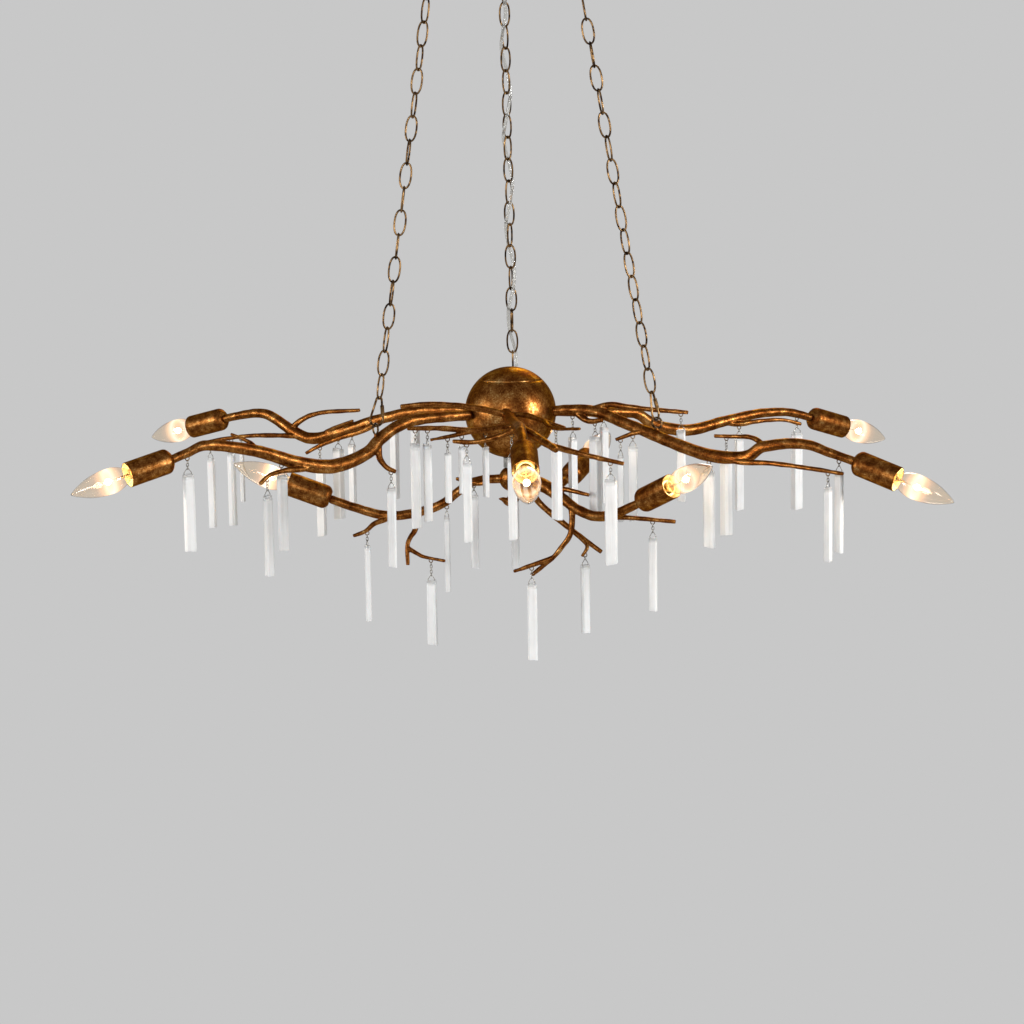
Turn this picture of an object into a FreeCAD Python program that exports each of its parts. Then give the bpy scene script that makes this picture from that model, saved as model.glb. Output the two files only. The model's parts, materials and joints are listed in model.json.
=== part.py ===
import FreeCAD, Part
import math
import os

# Branch chandelier on three chains: nine candle bulbs on forged branches round a ball,
# hung with selenite sticks. Millimetres, +Z up, the origin on the ceiling in the middle
# of the ceiling bracket, the viewer on the -Y side.

os.makedirs("parts", exist_ok=True)

# Ball and lower hub
BALL_RADIUS = 60.0
BALL_WALL = 2.0
BALL_SIDES = 24
BALL_LEVELS = 8
BALL_INSIDE_LEVELS = 4
CAP_LEVELS = 2
SEAM_SHARE = 0.7
CAP_LIP_DEPTH = 5.0
CAP_LIP_WALL = 1.5
LOWER_HUB_GAP = 27.0
LOWER_HUB_RADIUS = 16.0
HUB_SIDES = 12
HUB_LEVELS = 5
STEM_RADIUS = 6.0
STEM_BORE = 3.5
STEM_SIDES = 8
NUT_RADIUS = 11.0
NUT_HEIGHT = 5.0
NUT_SIDES = 6
NUT_SEAT_MARGIN = 1.5
STEM_PROUD = 5.0
FIT_GAP = 0.2

# Branches: reach from the axis to the back of a socket cup, and girth
UPPER_REACH = 477.0
LOWER_REACH = 237.0
ARM_RADIUS = 7.2
TWIG_RADIUS = 3.9
ARM_SIDES = 6
TWIG_SIDES = 5
ARM_STEPS = 15
TWIG_TIP_SHARE = 0.45

# Socket cup, lamp holder and bulb, measured along their own axis
CUP_RADIUS = 15.6
CUP_LENGTH = 59.0
CUP_WALL = 1.2
CUP_FLOOR = 4.0
CUP_BASE_RADIUS = 10.5
CUP_BASE_RISE = 5.0
CUP_SIDES = 10
HOLDER_RADIUS = 10.5
HOLDER_LENGTH = 49.0
HOLDER_SIDES = 8
BULB_CAP_RADIUS = 5.9
BULB_CAP_LENGTH = 19.0
BULB_SEAT_DEPTH = 17.0
BULB_LENGTH = 98.0
BULB_RADIUS = 15.9
BULB_SIDES = 10
# Glass outline: share of the bulb's length, share of its radius
BULB_OUTLINE_SHARES = (
    (0.194, 0.0), (0.194, 0.40), (0.26, 0.62), (0.35, 0.88), (0.46, 1.0), (0.58, 0.93),
    (0.72, 0.68), (0.87, 0.34), (1.0, 0.0),
)

# Chains: oval links, the pear-shaped connector at each lower end, the eye bolts
LINK_LENGTH = 34.5
LINK_WIDTH = 16.5
LINK_WIRE = 2.5
LINK_COUNT = 18
LINK_END_STEPS = 3
WIRE_SIDES = 4
LINK_TWIST_DEGREES = 4.0
LINK_PLAY = 0.15
SEAT_PLAY = 0.5
PEAR_LENGTH = 40.0
PEAR_TOP_WIDTH = 10.6
PEAR_BOTTOM_WIDTH = 21.0
PEAR_WIRE = 2.9
PEAR_GATE_LENGTH = 12.0
PEAR_GATE_WIRE = 5.0
EYE_BOLT_RADIUS = 6.8
EYE_BOLT_WIRE = 2.6
EYE_BOLT_SHANK_WIRE = 4.0
RING_STEPS = 10

# Ceiling canopy, its hooks, and the bracket above it
CANOPY_RADIUS = 125.0
CANOPY_DEPTH = 20.0
CANOPY_WALL = 1.2
CANOPY_BEND = 8.0
CANOPY_SIDES = 28
HOOK_INSET = 17.5
HOOK_DROP = 39.5
HOOK_RING_RADIUS = 7.0
HOOK_WIRE = 4.0
HOOK_COLLAR_RADIUS = 7.5
HOOK_COLLAR_HEIGHT = 3.0
BRACKET_LENGTH = 156.0
BRACKET_WIDTH = 22.0
BRACKET_THICKNESS = 2.5
BOX_SCREW_SPACING = 88.9
BOX_SCREW_HOLE_RADIUS = 2.4
STUD_END_INSET = 9.0
STUD_RADIUS = 2.0
STUD_HOLE_PLAY = 0.4
BALL_NUT_RADIUS = 5.5
BALL_NUT_FACE_RADIUS = 2.4
BALL_NUT_LEVELS = 2
LOCK_NUT_RADIUS = 4.0
CENTRE_BORE_RADIUS = 5.2
HOLE_SIDES = 8

# Power cord, wound round the rear chain, and the bushings at its two ends
CORD_DIAMETER = 4.4
CORD_SIDES = 5
CORD_SIDE_OFFSET = 4.7
CORD_CORNER_OFFSET = 4.3
CORD_HALF_LINKS = 33
CORD_BEND_SHARE = 0.45
CORD_EXIT_INSET = 15.0
BUSHING_RADIUS = 4.0
BUSHING_FLANGE_RADIUS = 6.5
BUSHING_FLANGE = 2.0
BUSHING_TAIL = 1.6
INLET_BEARING_DEGREES = 80.0
INLET_TILT_DEGREES = 15.0
CORD_INLET_RUN = 28.0
CORD_INSIDE_RUN = 8.0
# The cord round the canopy's bushing: outwards and up from where it passes the canopy
CORD_HEAD_PLACES = ((0.0, 12.0), (0.0, -16.0), (4.5, -40.0))
# The cord's slack between the rear chain's ring and the ball's inlet, as shares of the
# distance between them: along it from the inlet, to the viewer's right, up
CORD_TAIL_SHARES = (
    (0.870, 0.021, 0.238), (0.740, 0.013, 0.156), (0.591, 0.007, 0.100), (0.442, 0.002, 0.062),
    (0.293, 0.0, 0.040), (0.144, -0.001, 0.026),
)

# Crystal drops: gold eye under the twig, small silver links, wire bail, selenite stick
EYE_RADIUS = 2.5
EYE_WIRE = 1.2
EYE_STEPS = 4
SMALL_LINK_LENGTH = 5.6
SMALL_LINK_WIDTH = 3.8
SMALL_LINK_WIRE = 0.8
SMALL_SIDES = 3
SMALL_PLAY = 0.2
BAIL_RISE = 7.5
BAIL_WIRE = 0.9
BAIL_PIN_DEPTH = 6.0
BAIL_PIN_LENGTH = 2.0
BAIL_SIDE_GAP = 1.0
BAIL_TOP_WIDTH = 1.6
CRYSTAL_LENGTH = 100.0
CRYSTAL_WIDTH = 13.0
CRYSTAL_DEPTH_SHARE = 0.72
CRYSTAL_SLANT_SHARE = 0.16
# Cross-section of a stick: shares of half its width and half its depth
CRYSTAL_SECTION_SHARES = (
    (-1.0, -0.55), (-0.62, -1.0), (0.66, -0.94), (1.0, -0.30), (0.72, 0.96), (-0.80, 1.0),
)

# Each arm's bearing from +X and the droop of its lamp
ARM_TURN_DEGREES = {
    "arm_front_left": (210.0, -14.0),
    "arm_back_left": (148.4, -14.0),
    "arm_front_right": (331.4, -19.0),
    "arm_back_right": (29.2, -17.0),
    "arm_front": (271.7, -19.0),
    "arm_back": (90.0, -13.0),
    "arm_low_left": (180.0, 21.0),
    "arm_low_front": (312.0, 24.0),
    "arm_low_back": (62.0, 20.0),
}
# Points along the six upper arms as shares of UPPER_REACH: out from the axis, sideways, up
# from the ball's centre; and the share of ARM_RADIUS there
UPPER_ARM_SHARES = {
    "arm_front_left": (
        (0.09, 0.0, 0.0, 0.95), (0.27, 0.0, 0.0, 1.0), (0.345, 0.0, -0.014, 1.05),
        (0.40, 0.0, -0.045, 1.1), (0.445, 0.0, -0.082, 1.15), (0.54, 0.0, -0.107, 1.25),
        (0.64, 0.0, -0.092, 1.2), (0.76, 0.0, -0.051, 1.05), (0.895, 0.0, -0.026, 0.9),
        (0.955, 0.0, -0.041, 0.78), (1.0, 0.0, -0.056, 0.75)),
    "arm_back_left": (
        (0.09, 0.0, 0.004, 0.95), (0.30, 0.0, -0.010, 0.95), (0.45, 0.0, -0.044, 1.0),
        (0.56, 0.0, -0.079, 1.05), (0.665, 0.0, -0.104, 1.1), (0.735, 0.0, -0.085, 1.05),
        (0.80, 0.0, -0.051, 1.0), (0.85, 0.0, -0.039, 0.9), (0.93, 0.0, -0.050, 0.8),
        (0.98, 0.0, -0.061, 0.75)),
    "arm_front_right": (
        (0.09, 0.0, 0.004, 0.95), (0.24, 0.0, 0.013, 1.0), (0.35, 0.0, -0.018, 1.0),
        (0.53, 0.0, -0.077, 1.1), (0.62, 0.0, -0.095, 1.15), (0.70, 0.0, -0.090, 1.05),
        (0.75, 0.0, -0.062, 1.0), (0.855, 0.0, -0.051, 0.9), (0.93, 0.0, -0.070, 0.78),
        (1.0, 0.0, -0.091, 0.75)),
    "arm_back_right": (
        (0.09, 0.0, -0.002, 0.95), (0.36, 0.0, -0.025, 0.95), (0.41, 0.0, -0.033, 1.0),
        (0.47, 0.0, -0.069, 1.1), (0.58, 0.0, -0.089, 1.1), (0.70, 0.0, -0.072, 1.0),
        (0.82, 0.0, -0.058, 0.9), (0.92, 0.0, -0.061, 0.8), (1.0, 0.0, -0.082, 0.75)),
    "arm_front": (
        (0.09, -0.02, 0.012, 0.95), (0.25, -0.006, 0.003, 1.05), (0.42, 0.0, 0.009, 1.05),
        (0.63, 0.0, 0.029, 1.0), (0.84, -0.002, 0.046, 0.9), (0.93, 0.0, 0.038, 0.8),
        (1.0, 0.0, 0.017, 0.75)),
    "arm_back": (
        (0.09, 0.0, 0.0, 0.95), (0.30, 0.012, -0.026, 0.95), (0.45, -0.01, -0.059, 1.1),
        (0.60, 0.015, -0.083, 1.1), (0.75, 0.0, -0.062, 1.0), (0.90, 0.0, -0.043, 0.85),
        (1.0, 0.0, -0.062, 0.75)),
}
# The three lower arms, from the lower hub: the same columns, as shares of LOWER_REACH
LOWER_ARM_SHARES = {
    "arm_low_left": (
        (0.04, 0.0, 0.0, 0.8), (0.18, 0.0, -0.008, 0.8), (0.27, 0.0, -0.050, 0.8),
        (0.40, 0.0, -0.143, 0.82), (0.58, 0.0, -0.192, 0.85), (0.72, 0.0, -0.191, 0.85),
        (0.87, 0.0, -0.147, 0.8), (1.0, 0.0, -0.098, 0.75)),
    "arm_low_front": (
        (0.04, 0.0, 0.0, 1.1), (0.24, 0.0, -0.012, 1.25), (0.41, 0.0, -0.076, 1.0),
        (0.53, 0.0, -0.124, 0.9), (0.66, 0.0, -0.146, 0.9), (0.80, 0.0, -0.125, 0.85),
        (0.93, 0.0, -0.072, 0.78), (1.01, 0.0, -0.036, 0.75)),
    "arm_low_back": (
        (0.04, 0.0, 0.0, 0.8), (0.28, 0.0, -0.066, 0.85), (0.44, 0.0, -0.101, 0.85),
        (0.56, 0.0, -0.110, 0.8), (0.71, 0.0, -0.080, 0.75)),
}
# Twigs on each arm: share of TWIG_RADIUS at the root, then points as for the arm
TWIG_SHARES = {
    "arm_front_left": {
        "under": (1.0, (
            (0.575, 0.0, -0.105), (0.65, 0.017, -0.106), (0.70, 0.030, -0.104),
            (0.745, 0.042, -0.111), (0.777, 0.050, -0.130))),
        "hook": (1.1, (
            (0.405, 0.0, -0.055), (0.410, 0.010, -0.089), (0.405, 0.019, -0.107),
            (0.395, 0.029, -0.121), (0.378, 0.042, -0.131))),
        "over": (0.8, ((0.757, 0.0, -0.050), (0.775, -0.012, -0.028), (0.818, -0.034, -0.005))),
    },
    "arm_back_left": {
        "up": (1.1, (
            (0.745, 0.0, -0.083), (0.719, 0.0, -0.063), (0.700, -0.008, -0.049),
            (0.678, -0.017, -0.039), (0.637, -0.029, -0.030), (0.542, -0.063, -0.024))),
        "long": (1.0, (
            (0.692, 0.0, -0.101), (0.73, 0.014, -0.098), (0.835, 0.042, -0.099),
            (0.92, 0.063, -0.109), (1.007, 0.084, -0.126))),
        "stub": (0.9, ((0.632, 0.0, -0.095), (0.594, 0.010, -0.074), (0.502, 0.030, -0.043))),
        "under": (1.0, (
            (0.418, 0.0, -0.036), (0.471, 0.019, -0.069), (0.528, 0.031, -0.087),
            (0.574, 0.040, -0.103), (0.615, 0.052, -0.121), (0.644, 0.065, -0.139))),
    },
    "arm_front_right": {
        "up": (1.1, (
            (0.235, 0.0, 0.012), (0.296, 0.008, 0.030), (0.335, 0.019, 0.026),
            (0.416, 0.042, 0.017), (0.500, 0.071, 0.010))),
        "stub": (1.0, ((0.42, 0.0, -0.040), (0.385, -0.015, -0.040), (0.336, -0.036, -0.058))),
        "knot": (1.2, ((0.195, 0.0, 0.010), (0.245, -0.017, -0.013), (0.294, -0.027, -0.008))),
        "curl": (1.0, (
            (0.745, 0.0, -0.066), (0.735, 0.010, -0.055), (0.716, 0.019, -0.046),
            (0.690, 0.027, -0.042), (0.655, 0.036, -0.044), (0.587, 0.048, -0.047))),
        "lower": (1.0, (
            (0.628, 0.0, -0.095), (0.690, -0.014, -0.104), (0.767, -0.029, -0.101),
            (0.839, -0.042, -0.103), (0.929, -0.055, -0.109), (0.994, -0.063, -0.115))),
    },
    "arm_back_right": {
        "under": (1.0, (
            (0.69, 0.0, -0.073), (0.735, -0.014, -0.082), (0.798, -0.029, -0.076),
            (0.869, -0.042, -0.076), (0.927, -0.055, -0.091))),
    },
    "arm_front": {
        "left_high": (1.2, (
            (0.17, 0.0, 0.006), (0.178, -0.070, 0.026), (0.190, -0.160, 0.041),
            (0.210, -0.235, 0.047), (0.231, -0.296, 0.044))),
        "left_low": (1.1, (
            (0.52, 0.0, 0.019), (0.545, -0.100, 0.013), (0.57, -0.199, 0.023),
            (0.587, -0.277, 0.026))),
        "left_fork": (0.8, ((0.545, -0.100, 0.013), (0.57, -0.16, 0.004), (0.587, -0.22, -0.004))),
        "left_short": (1.0, (
            (0.69, 0.0, 0.033), (0.68, -0.05, 0.012), (0.67, -0.113, -0.002), (0.66, -0.165, 0.0))),
        "right_stub": (1.6, ((0.50, 0.0, 0.017), (0.608, 0.049, -0.002), (0.692, 0.092, -0.023))),
        "right_long": (1.0, ((0.66, 0.075, -0.015), (0.70, 0.16, -0.035), (0.713, 0.257, -0.058))),
        "right_high": (1.1, (
            (0.17, 0.0, 0.008), (0.22, 0.04, 0.012), (0.314, 0.0985, 0.0), (0.356, 0.13, -0.007))),
        "right_fork": (0.8, ((0.27, 0.075, 0.006), (0.36, 0.10, -0.006), (0.44, 0.165, 0.0))),
    },
    "arm_back": {
        "left": (1.1, ((0.52, 0.0, -0.070), (0.57, -0.09, -0.062), (0.66, -0.18, -0.070))),
        "right": (1.1, ((0.62, 0.0, -0.083), (0.67, 0.07, -0.074), (0.78, 0.15, -0.080))),
    },
    "arm_low_left": {
        "short": (1.0, (
            (0.673, 0.0, -0.193), (0.70, 0.017, -0.215), (0.761, 0.034, -0.236),
            (0.807, 0.051, -0.273), (0.876, 0.068, -0.297))),
        "down": (1.0, (
            (0.508, 0.0, -0.179), (0.536, 0.025, -0.275), (0.561, 0.042, -0.311),
            (0.579, 0.059, -0.358), (0.578, 0.076, -0.462))),
        "down_fork": (0.8, (
            (0.577, 0.060, -0.370), (0.526, 0.084, -0.397), (0.484, 0.110, -0.413),
            (0.371, 0.160, -0.429))),
        "root": (1.0, ((0.13, 0.0, -0.01), (0.19, 0.042, -0.020), (0.304, 0.075, 0.013))),
    },
    "arm_low_front": {
        "up": (1.0, ((0.31, 0.0, -0.037), (0.389, 0.025, -0.027), (0.554, 0.059, -0.048))),
        "side": (1.0, ((0.70, 0.0, -0.143), (0.85, 0.07, -0.143), (1.048, 0.218, -0.162))),
        "down": (1.1, (
            (0.481, 0.0, -0.108), (0.508, -0.025, -0.195), (0.506, -0.042, -0.264),
            (0.470, -0.068, -0.325), (0.432, -0.101, -0.385), (0.340, -0.169, -0.479))),
        "down_fork": (0.9, ((0.432, -0.101, -0.385), (0.347, -0.211, -0.430), (0.304, -0.270, -0.452))),
        "root": (1.2, (
            (0.13, 0.0, -0.02), (0.165, 0.059, -0.130), (0.282, 0.110, -0.227),
            (0.345, 0.135, -0.273), (0.497, 0.203, -0.381))),
        "curl": (0.9, (
            (0.345, 0.135, -0.273), (0.436, 0.127, -0.315), (0.481, 0.110, -0.346),
            (0.476, 0.076, -0.393))),
    },
}
# Pointed leaf under the lower hub, as shares of LOWER_HUB_RADIUS, and its root girth share
HUB_LEAF_SHARES = ((0.0, 0.0, -0.6), (-0.35, 0.0, -1.35), (-0.15, 0.0, -1.8), (-1.1, 0.0, -2.0))
HUB_LEAF_GIRTH_SHARE = 0.42
HUB_LEAF_STEPS = 8
HUB_DROP_SHARES = (0.25, 0.55, -0.76)

# Where the chains' rings stand: arm and share of its length; then the turn of the ring and
# the bearing of the chain's hook
CHAIN_SEAT_SHARES = {
    "chain_left": ("arm_front_left", 0.334),
    "chain_right": ("arm_front_right", 0.278),
    "chain_back": ("arm_back", 0.325),
}
CHAIN_TURN_DEGREES = {
    "chain_left": (90.0, 210.0),
    "chain_right": (0.0, 330.0),
    "chain_back": (0.0, 90.0),
}

# Crystal drops, each swinging as one: one or two sticks, each with its arm, its twig (or
# "arm"), the share along it, the count of small links, and the stick's length and width
# as shares of CRYSTAL_LENGTH and CRYSTAL_WIDTH.
DROP_SHARES = (
    (("arm_front_left", "arm", 0.901, 3, 0.95, 1.20),),
    (("arm_back_left", "long", 0.910, 3, 0.97, 0.92),),
    (("arm_back_left", "long", 0.724, 2, 1.02, 1.10), ("arm_back_left", "long", 0.630, 2, 0.70, 0.62)),
    (("arm_front_left", "under", 0.813, 3, 1.00, 1.00),),
    (("arm_front_left", "arm", 0.645, 1, 0.94, 1.08),),
    (("arm_back_left", "under", 0.753, 5, 0.92, 1.12),),
    (("arm_back_left", "arm", 0.350, 1, 0.95, 1.30), ("arm_back_left", "arm", 0.300, 1, 0.84, 0.88)),
    (("arm_low_left", "short", 0.715, 2, 1.00, 0.75),),
    (("arm_back_left", "arm", 0.169, 1, 0.91, 1.00), ("arm_back_left", "arm", 0.119, 1, 0.96, 1.05)),
    (("arm_front_left", "hook", 0.856, 3, 1.01, 0.98),),
    (("arm_front", "left_low", 0.915, 2, 1.01, 1.25), ("arm_front", "left_low", 0.780, 2, 0.93, 1.05)),
    (("arm_front", "left_fork", 0.640, 2, 0.60, 0.78), ("arm_front", "left_fork", 0.340, 1, 0.56, 0.70)),
    (("arm_front", "left_short", 0.772, 3, 0.96, 0.85),),
    (("arm_low_left", "root", 0.593, 1, 0.95, 0.92),),
    (("arm_low_left", "arm", 0.390, 1, 0.99, 0.62),),
    (("arm_front", "left_low", 0.270, 2, 0.60, 0.75),),
    (("arm_front", "left_short", 0.130, 5, 0.97, 0.92),),
    (("lower_hub", "hub", 0.0, 1, 0.95, 0.88),),
    (("arm_low_front", "down_fork", 0.395, 3, 0.99, 1.00),),
    (("arm_front", "right_fork", 0.561, 3, 0.90, 1.12),),
    (("arm_back_right", "arm", 0.045, 5, 0.90, 1.00), ("arm_back_right", "arm", 0.088, 1, 1.00, 1.00)),
    (("arm_front_right", "knot", 0.738, 2, 1.01, 1.40),),
    (("arm_front", "right_long", 0.833, 3, 1.00, 1.25),),
    (("arm_front_right", "stub", 0.880, 3, 0.84, 0.66), ("arm_front_right", "stub", 0.577, 1, 0.94, 0.98)),
    (("arm_low_front", "curl", 0.839, 1, 0.89, 1.00),),
    (("arm_low_front", "side", 0.764, 3, 0.93, 0.92),),
    (("arm_front_right", "up", 0.945, 3, 0.92, 0.92),),
    (("arm_front_right", "arm", 0.404, 1, 0.95, 1.25),),
    (("arm_front_right", "curl", 0.900, 4, 0.99, 1.35),),
    (("arm_back_right", "under", 0.269, 1, 1.00, 1.05),),
    (("arm_back_right", "arm", 0.921, 3, 1.05, 1.35),),
    (("arm_front_right", "lower", 0.858, 2, 0.91, 0.92),),
    (("arm_front_right", "arm", 0.931, 1, 1.00, 0.92),),
    (("arm_low_left", "down_fork", 0.787, 5, 0.84, 1.15),),
)

ORIGIN = FreeCAD.Vector(0, 0, 0)
UP = FreeCAD.Vector(0, 0, 1)
ROUTE_STEPS = 1000
STEEPEST_SHARE = 0.5


def heading(degrees):
    """Level unit vector at this bearing from +X."""
    turn = math.radians(degrees)
    return FreeCAD.Vector(math.cos(turn), math.sin(turn), 0)


def unit(vector):
    return vector / vector.Length


def across_from(axis):
    """Level unit vector square to an axis; +X for an upright one."""
    level = axis.cross(UP)
    return unit(level) if level.Length > FIT_GAP else heading(0)


def facet(corners):
    return Part.Face(Part.makePolygon(list(corners) + [corners[0]]))


def solid_of(faces):
    solid = Part.Solid(Part.Shell(faces))
    if solid.Volume < 0:
        solid.reverse()
    return solid


def smooth_route(points, steps):
    """Places along a smooth curve through the points, each with its position and values."""
    rows = [tuple(point) for point in points]
    first = tuple(2 * a - b for a, b in zip(rows[0], rows[1]))
    last = tuple(2 * a - b for a, b in zip(rows[-1], rows[-2]))
    rows = [first] + rows + [last]
    spans = len(rows) - 3
    places = []
    for step in range(steps + 1):
        along = step / steps * spans
        k = min(int(along), spans - 1)
        f = along - k
        weights = (
            (-f + 2 * f ** 2 - f ** 3) / 2, (2 - 5 * f ** 2 + 3 * f ** 3) / 2,
            (f + 4 * f ** 2 - 3 * f ** 3) / 2, (f ** 3 - f ** 2) / 2,
        )
        near = rows[k:k + 4]
        places.append(tuple(sum(w * value for w, value in zip(weights, column)) for column in zip(*near)))
    return places


def corner_turns(sides):
    """Angles of a polygon's corners, with one flat side facing the starting direction."""
    return [2 * math.pi * (k + 0.5) / sides for k in range(sides)]


def corner_radius(radius, sides):
    """Corner distance of the polygon that has the area of a round wire."""
    return radius * math.sqrt(2 * math.pi / (sides * math.sin(2 * math.pi / sides)))


def wire_reach(wire, sides):
    """Half thickness of a faceted wire, measured in the plane of its loop."""
    return corner_radius(wire / 2, sides) * max(math.sin(turn) for turn in corner_turns(sides))


def polygon_at(place, side, other, radius, sides):
    return [place + (side * math.cos(turn) + other * math.sin(turn)) * radius
            for turn in corner_turns(sides)]


def sections(route, radii, sides, end_along=None, loop_normal=None):
    """Mitred polygons round a route of straight runs; a loop when its normal is given."""
    count = len(route)
    rings = []
    side = None
    for i, place in enumerate(route):
        if loop_normal is not None:
            arriving = unit(place - route[i - 1])
            leaving = unit(route[(i + 1) % count] - place)
            side = loop_normal
        else:
            arriving = unit(place - route[i - 1]) if i else unit(route[1] - place)
            leaving = unit(route[i + 1] - place) if i < count - 1 else arriving
            side = across_from(arriving) if side is None else unit(side - arriving * side.dot(arriving))
        plane = unit(arriving + leaving)
        if i == count - 1 and end_along is not None:
            plane = end_along
        ring = []
        girth = corner_radius(radii[i], sides)
        for corner in polygon_at(ORIGIN, side, arriving.cross(side), girth, sides):
            ring.append(place + corner - arriving * (corner.dot(plane) / arriving.dot(plane)))
        rings.append(ring)
    return rings


def skin(rings, split=False):
    """Side faces between neighbouring polygons, each cut in two triangles when split."""
    faces = []
    sides = len(rings[0])
    for here, there in zip(rings, rings[1:]):
        for k in range(sides):
            m = (k + 1) % sides
            if split:
                faces.append(facet((here[k], here[m], there[m])))
                faces.append(facet((here[k], there[m], there[k])))
            else:
                faces.append(facet((here[k], here[m], there[m], there[k])))
    return faces


def tube(route, radii, sides, end_along=None):
    """Closed faceted tube whose girth may change along it."""
    rings = sections(route, radii, sides, end_along)
    return solid_of([facet(rings[0][::-1]), facet(rings[-1])] + skin(rings, split=True))


def wire_loop(route, radius, sides, normal):
    """Flat closed loop of wire of one thickness."""
    rings = sections(route, [radius] * len(route), sides, loop_normal=normal)
    return solid_of(skin(rings + rings[:1]))


def oval(centre, long_way, wide_way, length, width, end_steps, top_width=None):
    """Corners of an oval or pear-shaped loop on its wire's centre line, flat at both ends."""
    route = []
    flat_rise = math.sin(math.pi / end_steps * (end_steps // 2))
    for sign, end_width in ((1, top_width or width), (-1, width)):
        end = centre + long_way * (sign * (length - end_width) / 2)
        for step in range(end_steps + 1):
            turn = math.pi * step / end_steps
            route.append(end + wide_way * (sign * end_width / 2 * math.cos(turn))
                         + long_way * (sign * end_width / 2 * math.sin(turn) / flat_rise))
    return route


def ring(centre, radius, wire_radius, steps, sides, normal, first):
    """Round loop of wire, the middle of one of its straight runs in the given direction."""
    corners = polygon_at(centre, first, normal.cross(first), radius / math.cos(math.pi / steps), steps)
    return wire_loop(corners, wire_radius, sides, normal)


def lathe(profile, origin, axis, sides):
    """Faceted solid of revolution; the closed profile gives distance along and radius."""
    across = across_from(axis)
    rings = [polygon_at(origin + axis * along, across, axis.cross(across), radius, sides)
             for along, radius in profile]
    faces = []
    for i, (along, radius) in enumerate(profile):
        here, there = rings[i - 1], rings[i]
        last_along, last_radius = profile[i - 1]
        if radius and last_radius:
            faces.extend(skin([here, there]))
        elif along == last_along and radius:
            faces.append(facet(there[::-1]))
        elif along == last_along and last_radius:
            faces.append(facet(here))
        elif radius or last_radius:
            for k in range(sides):
                m = (k + 1) % sides
                faces.append(facet((here[k], here[m], there[k]) if last_radius
                                   else (here[k], there[m], there[k])))
    return solid_of(faces)


def prism(origin, axis, radius, height, sides):
    """Prism on a regular polygon whose corners lie on the radius."""
    return lathe(((0, 0), (0, radius), (height, radius), (height, 0)), origin, axis, sides)


def dome(radius, low, high, levels):
    """Outline of a ball between two heights: height and distance from the axis."""
    low_turn, high_turn = math.asin(low / radius), math.asin(high / radius)
    turns = [low_turn + (high_turn - low_turn) * level / levels for level in range(levels + 1)]
    return [(radius * math.sin(turn), radius * math.cos(turn)) for turn in turns]


def save(shape, node):
    shape.exportStep("parts/%s.step" % node)


def group(solids):
    return Part.makeCompound(solids)


# Branches, placed from the ball's centre

LOWER_HUB_DROP = BALL_RADIUS + LOWER_HUB_GAP
ARMS = {}
for name, points in UPPER_ARM_SHARES.items():
    ARMS[name] = ARM_TURN_DEGREES[name] + (points, UPPER_REACH, ORIGIN)
for name, points in LOWER_ARM_SHARES.items():
    ARMS[name] = ARM_TURN_DEGREES[name] + (points, LOWER_REACH, UP * -LOWER_HUB_DROP)


def place_on(arm, shares):
    """A place given as shares out, sideways and up, in the arm's own heading."""
    bearing, droop, points, reach, root = ARMS[arm]
    return (root + heading(bearing) * (shares[0] * reach)
            + heading(bearing + 90) * (shares[1] * reach) + UP * (shares[2] * reach))


def branch_points(arm, twig):
    """Points in space and girth of an arm or one of its twigs."""
    if twig == "arm":
        return [tuple(place_on(arm, row)) + (row[3] * ARM_RADIUS,) for row in ARMS[arm][2]]
    girth, rows = TWIG_SHARES[arm][twig]
    points = []
    for k, row in enumerate(rows):
        taper = 1 - (1 - TWIG_TIP_SHARE) * k / (len(rows) - 1)
        points.append(tuple(place_on(arm, row)) + (girth * TWIG_RADIUS * taper,))
    return points


def branch_spot(arm, twig, share):
    """Position, level direction and half height at a share of an arm's or twig's length."""
    places = smooth_route(branch_points(arm, twig), ROUTE_STEPS)
    k = min(max(round(ROUTE_STEPS * share), 1), ROUTE_STEPS - 1)
    before, here, after = (FreeCAD.Vector(*place[:3]) for place in places[k - 1:k + 2])
    run = unit(after - before)
    level = FreeCAD.Vector(run.x, run.y, 0)
    return here, unit(level), places[k][3] / max(level.Length, STEEPEST_SHARE)


# Chain lengths: each chain rises from an eye bolt's centre to a hook's lower wire, and the
# ball hangs as low as the left chain lets it

LINK_REACH = wire_reach(LINK_WIRE, WIRE_SIDES)
PEAR_REACH = wire_reach(PEAR_WIRE, WIRE_SIDES)
PEAR_FOOT = EYE_BOLT_RADIUS - wire_reach(EYE_BOLT_WIRE, WIRE_SIDES) - PEAR_REACH - SEAT_PLAY
PEAR_LOOP = PEAR_LENGTH - PEAR_WIRE
LINK_LOOP = LINK_LENGTH - LINK_WIRE
FIRST_LINK = PEAR_FOOT + PEAR_LOOP - PEAR_REACH - LINK_REACH - LINK_PLAY
LINK_PITCH = LINK_LOOP - 2 * LINK_REACH - LINK_PLAY
CHAIN_SPAN = (FIRST_LINK + LINK_PITCH * (LINK_COUNT - 1) + LINK_LOOP - LINK_REACH
              - wire_reach(HOOK_WIRE, WIRE_SIDES) - SEAT_PLAY)
HOOK_CIRCLE_RADIUS = CANOPY_RADIUS - HOOK_INSET


def chain_head(chain):
    """Middle of the hook's lower wire."""
    return heading(CHAIN_TURN_DEGREES[chain][1]) * HOOK_CIRCLE_RADIUS - UP * HOOK_DROP


def chain_foot_depth(chain):
    """Depth of the eye bolt's centre below the hook's wire, for a taut chain."""
    arm, share = CHAIN_SEAT_SHARES[chain]
    spot = branch_spot(arm, "arm", share)[0]
    head = chain_head(chain)
    return math.sqrt(CHAIN_SPAN ** 2 - (spot.x - head.x) ** 2 - (spot.y - head.y) ** 2)


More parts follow.
